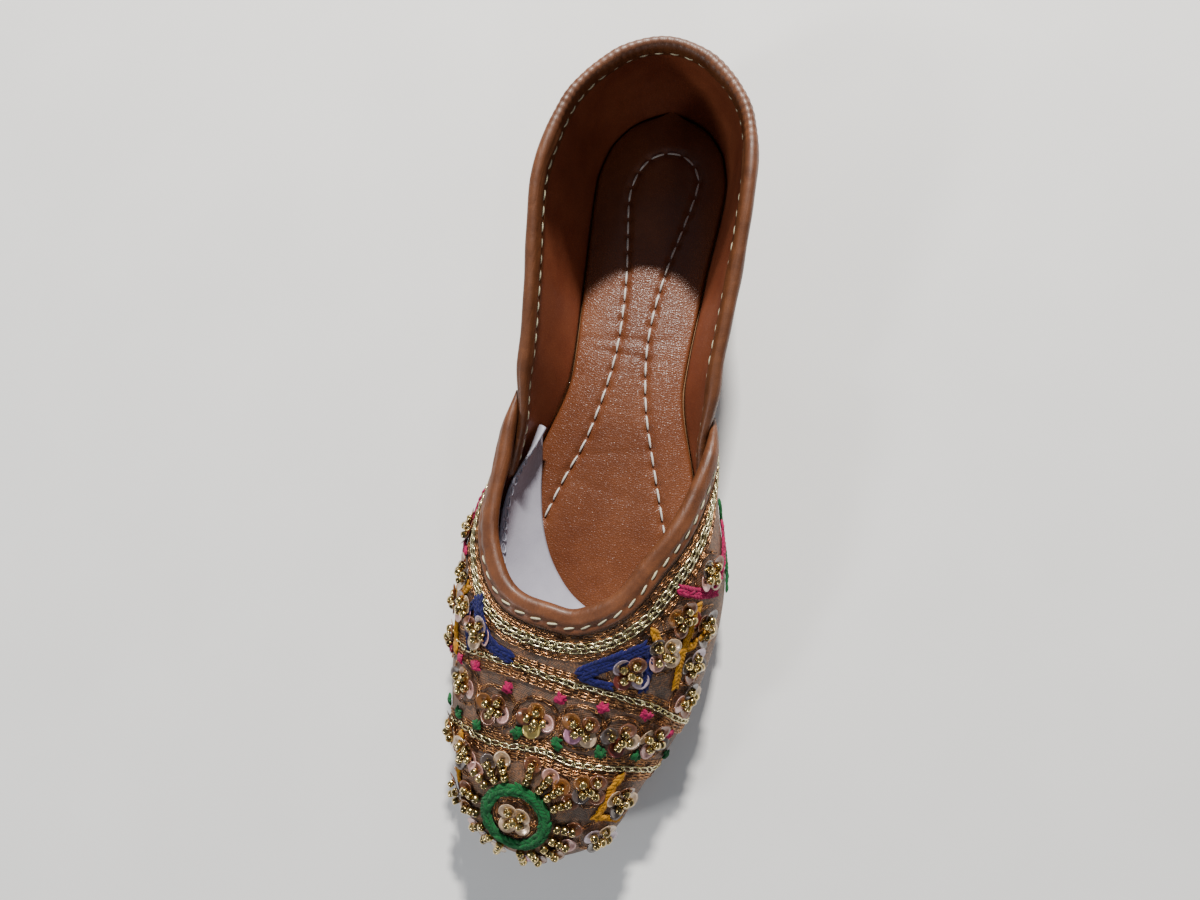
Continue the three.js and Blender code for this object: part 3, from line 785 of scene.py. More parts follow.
# %% [markdown]
# ## The vamp
# The vamp's cloth goes over the toes from ear to ear. Its columns run up from the feather line to the
# throat's edge, and in front of the throat those of both sides meet on the crest, where doubled points are
# merged. A cage with Subdivision Surface could give the toe too, but this way the cloth is the last's own
# surface, and all the embroidery can be laid on it by formula.


# %% Vamp wall
def vamp_turns():
    """Columns close together where the throat's edge turns: a quarter sine along each side, then the toe."""
    side = turn_at(EAR + (THROAT_FRONT - EAR) * np.sin(np.linspace(0, np.pi / 2, 110)))
    toe = np.linspace(turn_at(THROAT_FRONT), np.pi, 120)[1:]
    half = np.concatenate([side, toe])
    return np.concatenate([half, -half[:-1][::-1]])


def puckers(turn, climb):
    """Slow dents that the threads draw into the cloth: a wave round the vamp times a wave up it."""
    return 0.16 * np.sin(31 * turn + 7 * climb) * np.sin(9 * climb) * np.sin(np.minimum(2 * climb, np.pi / 2))


def vamp():
    """Two faces of the last, 2 mm apart, closed at the ears, the feather line and the throat."""
    turn = vamp_turns()
    t = np.linspace(0, 1, 70) ** 1.1
    climb = throat_climb(turn)[:, None] * t[None]
    turns = np.broadcast_to(turn[:, None], climb.shape)
    pucker = np.where(climb == 0, 0, puckers(np.abs(turns), climb))
    outer = off_last(turns, climb, VAMP_OUT * ease(turns) + pucker)
    inner = off_last(turns, climb, -VAMP_IN * ease(turns) + pucker)
    run = np.cumsum(np.r_[0, np.linalg.norm(np.diff(outer[:, 0], axis=0), axis=1)])
    rise = np.cumsum(np.pad(np.linalg.norm(np.diff(outer, axis=1), axis=2), ((0, 0), (1, 0))), axis=1)
    along = np.broadcast_to(run[:, None], rise.shape)
    uv = np.stack([np.concatenate([along, along], 1), np.concatenate([rise, rise[:, ::-1]], 1)], -1)
    wall("vamp", outer, inner, [CLOTH, WHITE], stands_for=["upper"], uv=uv.reshape(-1, 2), merge=0.01)


vamp()


# %% [markdown]
# ## Bindings
# A strip of thin tan leather is folded over each top line and sewn through with a cream running stitch. Its
# skin follows the wall's two faces and puffs out over the edge, and every stitch pinches it a little. A
# bevelled curve would be quicker, but it is round, and can't have one leg longer than the other.

# %% Sizes of the bindings
# the outer leg, the inner leg and the stitches' depth, all down from the wall's edge
QUARTER_LEGS, VAMP_LEGS = (4.6, 5.8, 3.4), (4.6, 4.2, 2.6)
STITCH_PITCH = 4.7


# %% Folded bindings
def under_edge(start, down, depth, turn, climb, drawn_in):
    """The wall's places at a depth under its edge, and how far the wall is drawn in there."""
    place = settle(start + down * depth, turn, climb)
    return place, drawn_in(share(place[0]), depth + 0 * turn)


def raised(place, off):
    """Points off the last, each by its own distance."""
    return last(*place) + outward(*place) * off[:, None]


def binding(name, turn, climb, face, back, legs, drawn_in, thin, puff, node):
    """A skin round the wall's edge: up the outer leg, over in a half circle, and down the inner leg.

    face and back are the wall's two sides, measured from the last. thin scales the strip at each station, and
    puff is the height of fine pleats.
    """
    middle, room = (face - back) / 2, (face + back) / 2 + 0.3 * thin
    skin_thick = 0.75 * thin
    tops = off_last(turn, climb, middle + drawn_in(share(turn), 0 * turn))
    run = unit(np.gradient(tops, axis=0))
    out = outward(turn, climb)
    out = unit(out - run * (out * run).sum(-1, keepdims=True))
    down = unit(np.cross(out, run))
    down *= np.sign(-down[:, 2:])
    travel = np.cumsum(np.r_[0, np.linalg.norm(np.diff(tops, axis=0), axis=1)])
    start = last(turn, climb)
    pinched = 0.55 + 0.45 * np.cos(2 * np.pi * travel / STITCH_PITCH)
    soft = 0.13 * np.sin(travel / 5.3 + 1) + 0.09 * np.sin(travel / 2.6) + puff * np.sin(travel / 0.37)

    def leg(length, side):
        """Rows of points from the leg's end up to the wall's edge, moved out to that side."""
        rows = []
        for depth in np.linspace(1, 0.06, 10) * length:
            place, shared = under_edge(start, down, depth, turn, climb, drawn_in)
            pinch = 0.34 * np.exp(-(((depth - legs[2]) / 0.9) ** 2)) * pinched
            plump = (0.38 + soft) * np.sin(np.pi * np.clip(depth / legs[2], 0, 1)) * thin
            tip = 0.5 * skin_thick * np.exp(-(((depth - length) / 0.3) ** 2))
            rise = room + skin_thick + plump - pinch - tip
            rows.append(raised(place, middle + shared + side * rise))
        return np.stack(rows, 1)

    angle = np.linspace(0, np.pi, 13)[1:-1]
    radius = (room + skin_thick + soft * 0.6 * thin)[:, None, None]
    arc = out[:, None] * np.cos(angle)[None, :, None] - down[:, None] * np.sin(angle)[None, :, None]
    skin = [leg(legs[0], 1), tops[:, None] + radius * arc, leg(legs[1], -1)[:, ::-1]]
    under = []
    for depth, side in ((legs[1], -1), (1.2, -1), (1.2, 1), (legs[0], 1)):
        place, shared = under_edge(start, down, depth, turn, climb, drawn_in)
        under.append(raised(place, middle + shared + side * (room - 0.15)))
    rings = np.concatenate([*skin, np.stack(under, 1)], 1) + SHIFT
    if rings.shape[1] % 2:
        rings = np.concatenate([rings, rings[:, -1:]], 1)
    new_piece(name, rings.reshape(-1, 3), shell(rings), [BINDING_TAN], "binding", [node], merge=0.002)


def nearest(points, among):
    """For each point the index of the nearest among others."""
    return ((points[:, None] - among[None]) ** 2).sum(-1).argmin(1)


def smoothed(points, reach):
    """A path cut every 0.5 mm and averaged over a cosine window of half width reach, with its ends kept."""
    even = resample(points, FINE_STEP)
    half = int(reach / FINE_STEP)
    if len(even) < 4 * half:
        return even
    window = 1 + np.cos(np.linspace(-np.pi, np.pi, 2 * half + 1))
    padded = np.concatenate([2 * even[:1] - even[half:0:-1], even, 2 * even[-1:] - even[-2 : -half - 2 : -1]])
    return np.stack([np.convolve(padded[:, k], window / window.sum(), "valid") for k in range(3)], -1)


def recut(turn, climb, cut, amount):
    """The same path of the last with its points placed anew by resample or smoothed."""
    points = last(turn, climb)
    even = cut(points, amount)
    near = nearest(even, points)
    return settle(even, turn[near], climb[near])


def no_tuck(at, below):
    """The vamp's wall isn't drawn in."""
    return 0 * at


def rim_of_quarter():
    """The quarter's top line up to where its binding ends inside the vamp."""
    turn = turn_at(0.56) * np.linspace(-1, 1, 900)
    return turn, climb_to(share(turn), quarter_top(share(turn)))


def rim_of_throat(count=420):
    """The throat's edge from the outer ear to the inner one, smoothed where its two sides meet."""
    at = EAR + 0.002 + (THROAT_FRONT - EAR - 0.002) * np.sin(np.linspace(0, np.pi / 2, count // 2))
    side = turn_at(at)
    turn = np.concatenate([side, -side[:-1][::-1]])
    return recut(turn, throat_climb(turn), smoothed, 6.0)


def quarter_thin(turn):
    """The quarter's binding is half as thick at its front ends, where it goes in behind the vamp."""
    return 1 - 0.5 * smooth(share(turn), 0.43, 0.49)


rim = rim_of_quarter()
thin = quarter_thin(rim[0])
pleats = 0.09 * (1 - smooth(share(rim[0]), 0.12, 0.2))
binding("quarter_edge_binding", *rim, 0.0, QUARTER_WALL, QUARTER_LEGS, tuck, thin, pleats, "quarter_binding")
rim = rim_of_throat()
thin = ease(rim[0])
both_sides = (VAMP_OUT * thin, VAMP_IN * thin)
binding("vamp_edge_binding", *rim, *both_sides, VAMP_LEGS, no_tuck, thin, 0.0, "vamp_binding")

# %% [markdown]
# ## Things laid on the vamp
# The embroidery is thousands of small things that lie on one curved surface. `place_of` turns a pair of
# numbers, the share of the length and the angle across from the crest, into a place of the last. `laid` gives
# each point of a path its direction, its sideways and its outward axis, so that a template lies flat on the
# cloth. A Shrinkwrap modifier could drop flat embroidery on the vamp, but would squash what stands up.


# %% Paths on the surface
def place_of(at, across):
    """Angle round and climb for a share of the length and degrees across, below 0 on the inner side."""
    at, across = np.broadcast_arrays(np.asarray(at, float), np.asarray(across, float))
    turn = turn_at(at) * np.where(across < 0, -1, 1)
    return turn, np.radians(90 - np.abs(across))


def on_cloth(path, off):
    """Points off the cloth's outer face."""
    turn, climb = path
    return off_last(turn, climb, VAMP_OUT * ease(turn) + off)


def laid(path, off):
    """path is (angle round, climb). It returns points off the cloth, and axes along, across and out."""
    turn, climb = path
    points = on_cloth(path, off)
    out = outward(turn, climb)
    run = np.gradient(points, axis=0)
    run = unit(run - out * (run * out).sum(-1, keepdims=True))
    return points, run, np.cross(out, run), out


def follow(turn, climb, pitch, sideways=0.0):
    """The path moved sideways on the last in steps of up to 2 mm, smoothed, and cut to an even pitch."""
    steps = int(np.ceil(abs(sideways) / 2.0))
    for _ in range(steps):
        points = last(turn, climb)
        side = unit(np.cross(outward(turn, climb), unit(np.gradient(points, axis=0))))
        turn, climb = settle(points + side * sideways / steps, turn, climb)
        turn, climb = recut(turn, climb, smoothed, 5.0)
    return recut(turn, climb, resample, pitch)


def through(rows, count=200):
    """A smooth path through rows of (share of the length, degrees across)."""
    line = rounded(np.asarray(rows, float), max(count // len(rows), 4))
    return place_of(line[:, 0], line[:, 1])


# %% Chain stitches
def link_shape(pitch, width, thick, sides=5, around=11):
    """One chain stitch: a teardrop loop of wire, narrow at its tail and lifted at its head."""
    s = np.linspace(0, 2 * np.pi, around, endpoint=False)
    x = 0.72 * pitch * np.cos(s)
    y = 0.5 * width * np.sin(s) * (1 + 0.35 * np.cos(s))
    z = 0.55 * thick + 0.35 * thick * np.cos(s)
    return tube(np.stack([x, y, z], -1), thick / 2, sides, True)


def chain(name, paths, pitch, width, thick, loose, paint):
    """A piece of chain stitches along every path, each turned by a little chance."""
    template, quads = link_shape(pitch, width, thick)
    parts = []
    rng = np.random.default_rng(11)
    for path in paths:
        places, run, side, out = laid(path, 0.12)
        wobble = rng.normal(0, loose, len(places))[:, None]
        run, side = unit(run + side * wobble), unit(side - run * wobble)
        size = 1 + rng.normal(0, 0.05, len(places))
        parts.append(scatter(template, quads, places, run, side, out, size))
    points, faces = joined(parts)
    new_piece(name, points + SHIFT, faces, [paint], "upper")


# %% [markdown]
# ## Bands of chain stitch
# Chain stitches in pale gold wire, with finer copper ones beside them, follow the throat and cross the vamp
# twice. Each band is one line of places, and its rows are the same line moved sideways by a few millimetres.
# An Array modifier on a curve could repeat the links, but wouldn't keep each one flat on the last.

# %% Gold and copper bands
GOLD_PITCH, COPPER_PITCH = 2.7, 2.5
# rows beside the throat's edge, in millimetres from it
THROAT_GOLD = [8.5, 9.8]
THROAT_COPPER = [5.9, 7.0, 11.4, 12.5]
# the two bands across the vamp, each a line through (share of the length, degrees across)
BANDS = [
    [
        (0.765, -82), (0.775, -68), (0.793, -55), (0.821, -36), (0.849, -19), (0.877, 0), (0.868, 14),
        (0.849, 30), (0.832, 43), (0.823, 58), (0.818, 78),
    ],
    [
        (0.868, -78), (0.886, -58), (0.933, -36), (0.967, -19), (0.989, 0), (0.971, 20), (0.938, 36),
        (0.902, 53), (0.882, 68), (0.872, 82),
    ],
]
# copper rows beside a band's gold one, in millimetres from it
BAND_COPPER = [-3.5, -2.4, -1.5, 1.5, 2.4]

gold_paths, copper_paths = [], []
throat_rim = rim_of_throat(300)
inside_ears = slice(14, -14)
throat_line = (throat_rim[0][inside_ears], throat_rim[1][inside_ears])
gold_paths += [follow(*throat_line, GOLD_PITCH, d) for d in THROAT_GOLD]
copper_paths += [follow(*throat_line, COPPER_PITCH, d) for d in THROAT_COPPER]
for rows in BANDS:
    line = through(rows)
    gold_paths.append(follow(*line, GOLD_PITCH))
    copper_paths += [follow(*line, COPPER_PITCH, d) for d in BAND_COPPER]
print("rows of gold:", len(gold_paths), "rows of copper:", len(copper_paths))

# %% [markdown]
# ## Flowers, knots and the toe's medallion
# A flower is four sequins with a bead on each and one in the middle. Tables give each flower's place and its
# sequins' tints. The last flower is the medallion's. Rays run out from it, each two beads and then a sequin
# with a bead of its own. Each could be placed by hand, but small chance shifts keep the flowers from looking
# stamped, and a seeded generator gives the same shifts each run.

# %% Where the flowers are
TINTS = {
    "p": colour("#c79a94"), "c": colour("#cbb093"), "y": colour("#c4ae62"), "b": colour("#7a4c33"),
    "d": colour("#6e2e26"), "l": colour("#b3a2b0"), "t": colour("#5e5350"), "m": colour("#b883a0"),
    "a": colour("#8a5a2c"),
}
# share of the length, degrees across, turn in degrees, tints of the four sequins
FLOWERS = [
    (0.84, -52, 20, "pbta"), (0.896, -31, 30, "pbab"), (0.939, -7, 10, "pyba"), (0.924, 17, 40, "cmab"),
    (0.887, 40, 15, "cdtb"), (0.857, 57, 35, "tpcb"), (0.816, 28, 25, "ldlb"), (0.77, 40, 40, "cptc"),
    (0.719, 45, 10, "dbab"), (0.713, 60, 30, "ctbt"), (0.759, 59, 20, "tbtl"), (0.796, 64, 0, "cbpt"),
    (0.651, 56, 35, "cptb"), (0.785, -41, 15, "pcbl"), (0.747, -54, 40, "mpbc"), (0.7, -59, 10, "tcba"),
    (0.73, -73, 25, "bptb"), (0.775, -70, 35, "bacb"), (0.64, -66, 20, "btba"), (0.925, -54, 30, "ptcb"),
    (0.885, -72, 10, "cbta"), (0.952, -73, 25, "clbt"), (0.959, 39, 40, "btab"), (0.929, 61, 20, "ctcb"),
    (0.967, 67, 35, "ltlc"), (0.998, -47, 45, "cccc"),
]
MEDALLION = FLOWERS[-1]


def patch(at, across):
    """A place with its axes: along the shoe's width, across that, and outward, as in the CAD model."""
    turn, climb = place_of(np.array([at]), np.array([across]))
    out = outward(turn, climb)[0]
    side = unit(np.cross([1.0, 0.0, 0.0], out))
    return turn, climb, last(turn, climb)[0], np.cross(out, side), side, out


def around(at, across, radius, angle):
    """Places of the surface round a patch, at a radius and angles on its tangent plane."""
    turn, climb, centre, x_way, y_way, _ = patch(at, across)
    radius, angle = np.broadcast_arrays(np.asarray(radius, float), np.asarray(angle, float))
    target = centre + (radius * np.cos(angle))[:, None] * x_way + (radius * np.sin(angle))[:, None] * y_way
    return settle(target, np.repeat(turn, len(angle)), np.repeat(climb, len(angle)))


# %% Templates of a sequin and a bead
def turned(radii, heights, sides):
    """A closed profile turned round the first axis. It returns points and quads."""
    angle = np.linspace(0, 2 * np.pi, sides, endpoint=False)
    across = [radii[:, None] * np.cos(angle), radii[:, None] * np.sin(angle)]
    points = np.stack([heights[:, None] + 0 * angle, *across], -1)
    faces = grid_faces(len(radii), sides, close_rows=True, close_cols=True)
    return points.reshape(-1, 3), faces[:, ::-1]


def sequin_shape(radius=2.6, hole=0.5, cup=0.45, thick=0.12):
    """A cupped disc with a hole: its height grows with the square of the radius, on two faces."""
    radii = np.array([hole, 1.2, 2.0, radius, radius, 2.0, 1.2, hole])
    under = np.array([0, 0, 0, 0, -thick, -thick, -thick, -thick])
    points, faces = turned(radii, cup * (radii / radius) ** 2 + under + 0.15, 22)
    return points[:, [1, 2, 0]], faces


def bead_shape(radius=1.24, hole=0.5, half=0.9):
    """A seed bead: a rounded barrel with a hole, a superellipse turned round the thread's line."""
    t = np.linspace(0, 2 * np.pi, 9, endpoint=False)
    middle, swell = (radius + hole) / 2, (radius - hole) / 2
    ring = middle + swell * np.sign(np.cos(t)) * np.abs(np.cos(t)) ** 0.7
    along = half * np.sign(np.sin(t)) * np.abs(np.sin(t)) ** 0.7
    return turned(ring, along, 14)


# %% Sequins and beads
rng = np.random.default_rng(5)
# each entry of the first two is places with three axes
sequins, beads, sequin_tints = [], [], []


def add_sequins(path, tints, away, off=0.25, tilt=0.24):
    """Sequins on the cloth, each tilted so that its far edge lifts."""
    turn, climb = path
    points = on_cloth(path, off)
    out = outward(turn, climb)
    away = unit(away - out * (away * out).sum(-1, keepdims=True))
    side = np.cross(out, away)
    lean = tilt + rng.normal(0, 0.08, len(points))
    x_way = unit(away * np.cos(lean)[:, None] + out * np.sin(lean)[:, None])
    sequins.append((points, x_way, side, np.cross(x_way, side)))
    sequin_tints.extend(TINTS[t] for t in tints)


def add_beads(path, thread, off):
    """Beads off the cloth, with their holes along a thread's direction."""
    turn, climb = path
    points = on_cloth(path, off)
    out = outward(turn, climb)
    thread = unit(unit(thread) + 0.22 * rng.normal(0, 1, points.shape))
    side = unit(np.cross(out, thread))
    beads.append((points, thread, side, np.cross(thread, side)))


def flower(at, across, twist, tints):
    """Four sequins round a middle, a bead on each one's inner half, and one more on the middle."""
    angle = np.radians(twist + 90 * np.arange(4)) + rng.normal(0, 0.12, 4)
    radius = 3.2 + rng.normal(0, 0.2, 4)
    centre = patch(at, across)
    spokes = around(at, across, radius, angle)
    away = last(*spokes) - centre[2]
    add_sequins(spokes, tints, away, off=0.25 + 0.22 * np.arange(4))
    ring = around(at, across, 2.35 + rng.normal(0, 0.15, 4), angle)
    add_beads(ring, away, 1.6 + rng.normal(0, 0.1, 4))
    extra = around(at, across, np.array([0.2]), angle[:1] + 0.8)
    add_beads(extra, away[:1], np.array([2.3]))


for entry in FLOWERS:
    flower(*entry)

RAY_TINTS = "bpabmcbpabptcbpab"
RAYS = len(RAY_TINTS)
ray_angles = np.linspace(0, 2 * np.pi, RAYS, endpoint=False) + rng.normal(0, 0.05, RAYS)


def on_rays(radius):
    """The rays' places at a radius round the medallion's middle, and the way out from there."""
    spots = around(*MEDALLION[:2], radius, ray_angles)
    return spots, last(*spots) - patch(*MEDALLION[:2])[2]


add_beads(*on_rays(12.2), 1.1)
add_beads(*on_rays(14.4), 1.2)
spots, away = on_rays(17.2)
add_sequins(spots, RAY_TINTS, away, off=0.2, tilt=0.12)
add_beads(*on_rays(16.6), 1.6)


def join_frames(groups):
    """Stacks of places and axes from several groups as four arrays."""
    return [np.concatenate([np.broadcast_to(g[k], g[0].shape) for g in groups]) for k in range(4)]


flower_nodes = [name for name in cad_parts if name.startswith("flower_")]
template, quads = sequin_shape()
points, faces = scatter(template, quads, *join_frames(sequins))
tint = np.repeat(np.array(sequin_tints), len(template), axis=0)
new_piece("sequins", points + SHIFT, faces, [SEQUIN], "beadwork", flower_nodes, tint=tint)
template, quads = bead_shape()
points, faces = scatter(template, quads, *join_frames(beads))
new_piece("seed_beads", points + SHIFT, faces, [BEAD], "beadwork")

# %% Copper lines round the flowers, and all the chain stitches
# full rings round the first six flowers and the medallion's, and open ones round the others
full = np.linspace(0, 2 * np.pi, 40)
lines = [(entry, 6.3, full) for entry in FLOWERS[:6]]
lines += [(entry, 6.0, full[4:-9]) for entry in FLOWERS[6:-1]]
lines += [(MEDALLION, radius, full) for radius in (6.1, 5.1)]
for (at, across, *_), radius, angles in lines:
    copper_paths.append(follow(*around(at, across, radius, angles), COPPER_PITCH))
chain("gold_chains", gold_paths, GOLD_PITCH, 1.3, 0.5, 0.15, GOLD)
chain("copper_chains", copper_paths, COPPER_PITCH, 0.8, 0.24, 0.05, COPPER)

# %% [markdown]
# ## Wool
# Wool is laid in fat stitches: in strokes between the flowers, in knots beside the bands, and in a ring round
# the medallion. Each stitch is a soft spindle. Side by side they fill a stroke, and round the ring they lean
# like the strands of a rope. Their tint is stored on the points, so one paint serves every colour. Hair
# particles could be fluffier, but would not be part of the mesh.

# %% Wool strokes, knots and the ring
WOOLS = {
    "magenta": (0.46, 0.001, 0.09, 1.0), "green": (0.002, 0.135, 0.03, 1.0),
    "blue": (0.005, 0.005, 0.11, 1.0), "yellow": (0.62, 0.27, 0.003, 1.0),
}
wool_parts, wool_tints = [], []


def spindle(length=3.4, thick=1.25):
    """A soft stitch: a round section whose radius follows half a sine, a little flattened."""
    t = np.linspace(0.02, 0.98, 9)
    centres = np.stack([(t - 0.5) * length, 0 * t, 0.25 * np.sin(np.pi * t)], -1)
    points, faces = tube(centres, thick / 2 * np.sin(np.pi * t) ** 0.6, 8, False)
    return points * [1, 1, 0.85], faces


def keep_wool(hue, points, faces):
    """Keeps some stitches and their tint for the wool's one piece."""
    wool_parts.append((points, faces))
    wool_tints.append(np.tile(WOOLS[hue], (len(points), 1)))


def add_wool(path, hue, off, lean=0.45, rows=(0.0,), size=1.0):
    """Stitches along a path in rows beside each other, leaning one way and then the other."""
    template, quads = spindle()
    places, run, side, out = laid(path, off)
    for k, shift in enumerate(rows):
        slant = lean * (1 if k % 2 else -1) + rng.normal(0, 0.1, len(places))
        x_way = unit(run * np.cos(slant)[:, None] + side * np.sin(slant)[:, None])
        spots = places + side * shift + out * rng.normal(0, 0.08, len(places))[:, None]
        scale = size * (1 + rng.normal(0, 0.08, len(places)))
        keep_wool(hue, *scatter(template, quads, spots, x_way, np.cross(out, x_way), out, scale))


def add_knot(hue, at, across, count=18, reach=1.35):
    """A tuft: short stitches about one place, in every direction of the cloth, the inner ones higher."""
    template, quads = spindle(2.3, 1.15)
    radius = reach * np.sqrt(rng.uniform(0, 1, count))
    path = around(at, across, radius, rng.uniform(0, 2 * np.pi, count))
    places = on_cloth(path, 0.4) + outward(*path) * (0.5 * (reach - radius))[:, None]
    angle = rng.uniform(0, np.pi, count)[:, None]
    _, _, _, x_way, y_way, out = patch(at, across)
    along = x_way * np.cos(angle) + y_way * np.sin(angle)
    out = np.broadcast_to(out, along.shape)
    scale = rng.uniform(0.75, 1, count)
    keep_wool(hue, *scatter(template, quads, places, along, np.cross(out, along), out, scale))


# strokes of wool: hue, a line through (share of the length, degrees across), and its rows in millimetres
STROKES = [
    ("blue", [(0.858, 7), (0.834, 14), (0.805, 23), (0.778, 31)], (-1.2, -0.3, 0.6, 1.5)),
    ("blue", [(0.778, 32), (0.796, 35), (0.822, 37)], (-0.5, 0.5)),
    ("blue", [(0.862, 8), (0.857, 15), (0.848, 22)], (-0.4, 0.5)),
    ("yellow", [(0.693, 52), (0.709, 50), (0.73, 50), (0.752, 49)], (-0.5, 0.5)),
    ("yellow", [(0.709, 62), (0.73, 57), (0.752, 50)], (-0.4, 0.4)),
    ("yellow", [(0.752, 49), (0.773, 51), (0.793, 53)], (-0.5, 0.5)),
    ("yellow", [(0.753, 32), (0.761, 36)], (-0.6, 0.4)),
    ("magenta", [(0.583, 75), (0.617, 70), (0.644, 65), (0.664, 61)], (-0.9, 0.0, 0.9)),
    ("magenta", [(0.688, 40), (0.682, 48), (0.674, 56), (0.667, 62)], (-1.0, -0.1, 0.8)),
    ("green", [(0.556, 77), (0.6, 79), (0.658, 77)], (-0.7, 0.2)),
    ("blue", [(0.835, -22), (0.81, -32), (0.775, -39), (0.742, -42)], (-1.2, -0.3, 0.6, 1.4)),
    ("blue", [(0.742, -43), (0.76, -50), (0.8, -47)], (-0.4, 0.5)),
    ("yellow", [(0.795, -60), (0.765, -62), (0.737, -60), (0.72, -52)], (-0.5, 0.5)),
    ("yellow", [(0.737, -60), (0.72, -68), (0.71, -77)], (-0.4, 0.4)),
    ("magenta", [(0.594, -65), (0.62, -67), (0.655, -68), (0.675, -62)], (-0.9, 0.0, 0.9)),
    ("magenta", [(0.655, -68), (0.665, -76), (0.67, -82)], (-0.4, 0.4)),
    ("green", [(0.56, -78), (0.6, -81), (0.64, -82)], (-0.7, 0.2)),
    ("yellow", [(0.914, 52), (0.933, 51), (0.964, 54)], (-0.5, 0.4)),
    ("yellow", [(0.964, 54), (0.955, 59), (0.944, 68)], (-0.3, 0.3)),
    ("yellow", [(0.898, -57), (0.925, -62), (0.944, -64)], (-0.4, 0.4)),
]
# knots beside the bands: hue and places
KNOTS = {
    "magenta": [
        (0.81, -54), (0.829, -42), (0.878, -23), (0.904, 1), (0.878, 24), (0.842, 45), (0.839, 64),
        (0.79, -68),
    ],
    "green": [
        (0.873, -58), (0.902, -43), (0.949, -17), (0.968, 7), (0.922, 33), (0.883, 53), (0.86, 74),
        (0.85, -72),
    ],
}
# the ring's three rows: radius, lean and height off the cloth
RING_ROWS = [(7.6, 0.5, 0.75), (8.6, -0.5, 1.1), (9.6, 0.5, 0.75)]
for hue, rows, beside in STROKES:
    add_wool(follow(*through(rows), 1.2), hue, 0.45, rows=beside, size=0.9)
for hue, spots in KNOTS.items():
    for at, across in spots:
        add_knot(hue, at, across)
for radius, lean, off in RING_ROWS:
    ring = follow(*around(*MEDALLION[:2], radius, np.linspace(0, 2 * np.pi, 60)), 1.15)
    add_wool(ring, "green", off, lean=lean)

points, faces = joined(wool_parts)
tints = np.concatenate(wool_tints)
new_piece("wool_embroidery", points + SHIFT, faces, [WOOL], "wool", ["toe_ring"], tint=tints)

# %% [markdown]
# ## Cream stitches on the bindings
# The running stitch that holds each binding shows on the vamp's outside and on the quarter's inside. It runs
# at the depth where the binding's own formula draws the strip in. Real thread shapes catch the light from any
# side, which a painted dashed line doesn't.

# %% Sizes of the running stitches
# how far a binding's face stands off the wall, and how far a stitch sinks into it
BINDING_LIFT, STITCH_SINK = 1.05, 0.24


# %% Running stitches
def running_stitch(name, turn, climb, depth, off, drawn_in, side, slant):
    """Stitches at a depth under a rim, on the outer face for side 1 and on the inner face for side -1."""
    start = last(turn, climb)
    run = unit(np.gradient(start, axis=0))
    down = unit(np.cross(outward(turn, climb), run))
    down *= np.sign(-down[:, 2:])
    place, shared = under_edge(start, down, depth, turn, climb, drawn_in)
    line = raised(place, shared + side * off)
    even = resample(line, STITCH_PITCH)
    near = nearest(even, line)
    face = outward(place[0][near], place[1][near]) * side
    along = unit(np.gradient(even, axis=0))
    along = unit(along + unit(np.cross(face, along)) * slant)
    template, quads = stitch_shape(3.3, 0.62)
    points, faces = scatter(template, quads, even, along, unit(np.cross(face, along)), face)
    new_piece(name, points + SHIFT, faces, [CREAM], "binding")


# on the vamp the stitches start further forward on the inner side than on the outer side
turn, climb = rim_of_throat()
seen = share(turn) > np.where((turn < 0) == (climb < np.pi / 2), 0.69, 0.49)
turn, climb = turn[seen], climb[seen]
off = (VAMP_OUT + BINDING_LIFT) * ease(turn) - STITCH_SINK
running_stitch("vamp_binding_stitches", turn, climb, VAMP_LEGS[2], off, no_tuck, 1, 0.22)
turn, climb = rim_of_quarter()
off = QUARTER_WALL + BINDING_LIFT * quarter_thin(turn) - STITCH_SINK
running_stitch("quarter_binding_stitches", turn, climb, QUARTER_LEGS[2], off, tuck, -1, 0.06)

# %% [markdown]
# ## The white lining
# Inside the vamp a strip of white coated cloth stands loose along the inner side, from a tip beside the sock
# to the throat's front. Its upper edge is pressed with a row of small ovals. Cloth simulation could drape it,
# but it is stiff and its two edges are known, so it is a ruled sheet between them, bowed a little.

# %% White lining strip
# the strip's lower edge on the sock and its upper edge, from the tip forwards
LINING_FOOT = np.array([
    [-24.9, 2.4, 12.0], [-24.6, -3, 9.5], [-23.4, -11, 8.8], [-22.2, -19, 8.6], [-19.8, -29, 8.6],
    [-16.2, -37.5, 8.8], [-11.8, -44, 9.0], [-6.6, -49.3, 9.2], [-0.6, -53, 9.4], [8, -57, 9.8],
    [18, -58, 10], [27, -54, 10],
])
LINING_TOP = np.array([
    [-23.0, 2.0, 14.5], [-24.9, -6.0, 19.5], [-27.1, -12.7, 22.5], [-29.0, -20.4, 24.0], [-29.4, -29, 24.5],
    [-28.6, -38, 25.0], [-26.6, -47, 26.5], [-21.0, -56, 29.5], [-12, -63, 32.5], [2, -65.5, 34.0],
    [15, -62, 32.5], [25.5, -55, 29.0],
])
# a place inside the shoe, which the strip's face looks towards, and half the cloth's thickness
FOOT_PLACE, HALF_CLOTH = np.array([0.0, -25.0, 30.0]), 0.35
# the ovals' pitch, and the ruling's point that they follow, third from the upper edge
OVAL_PITCH, OVAL_POINT = 3.6, -3


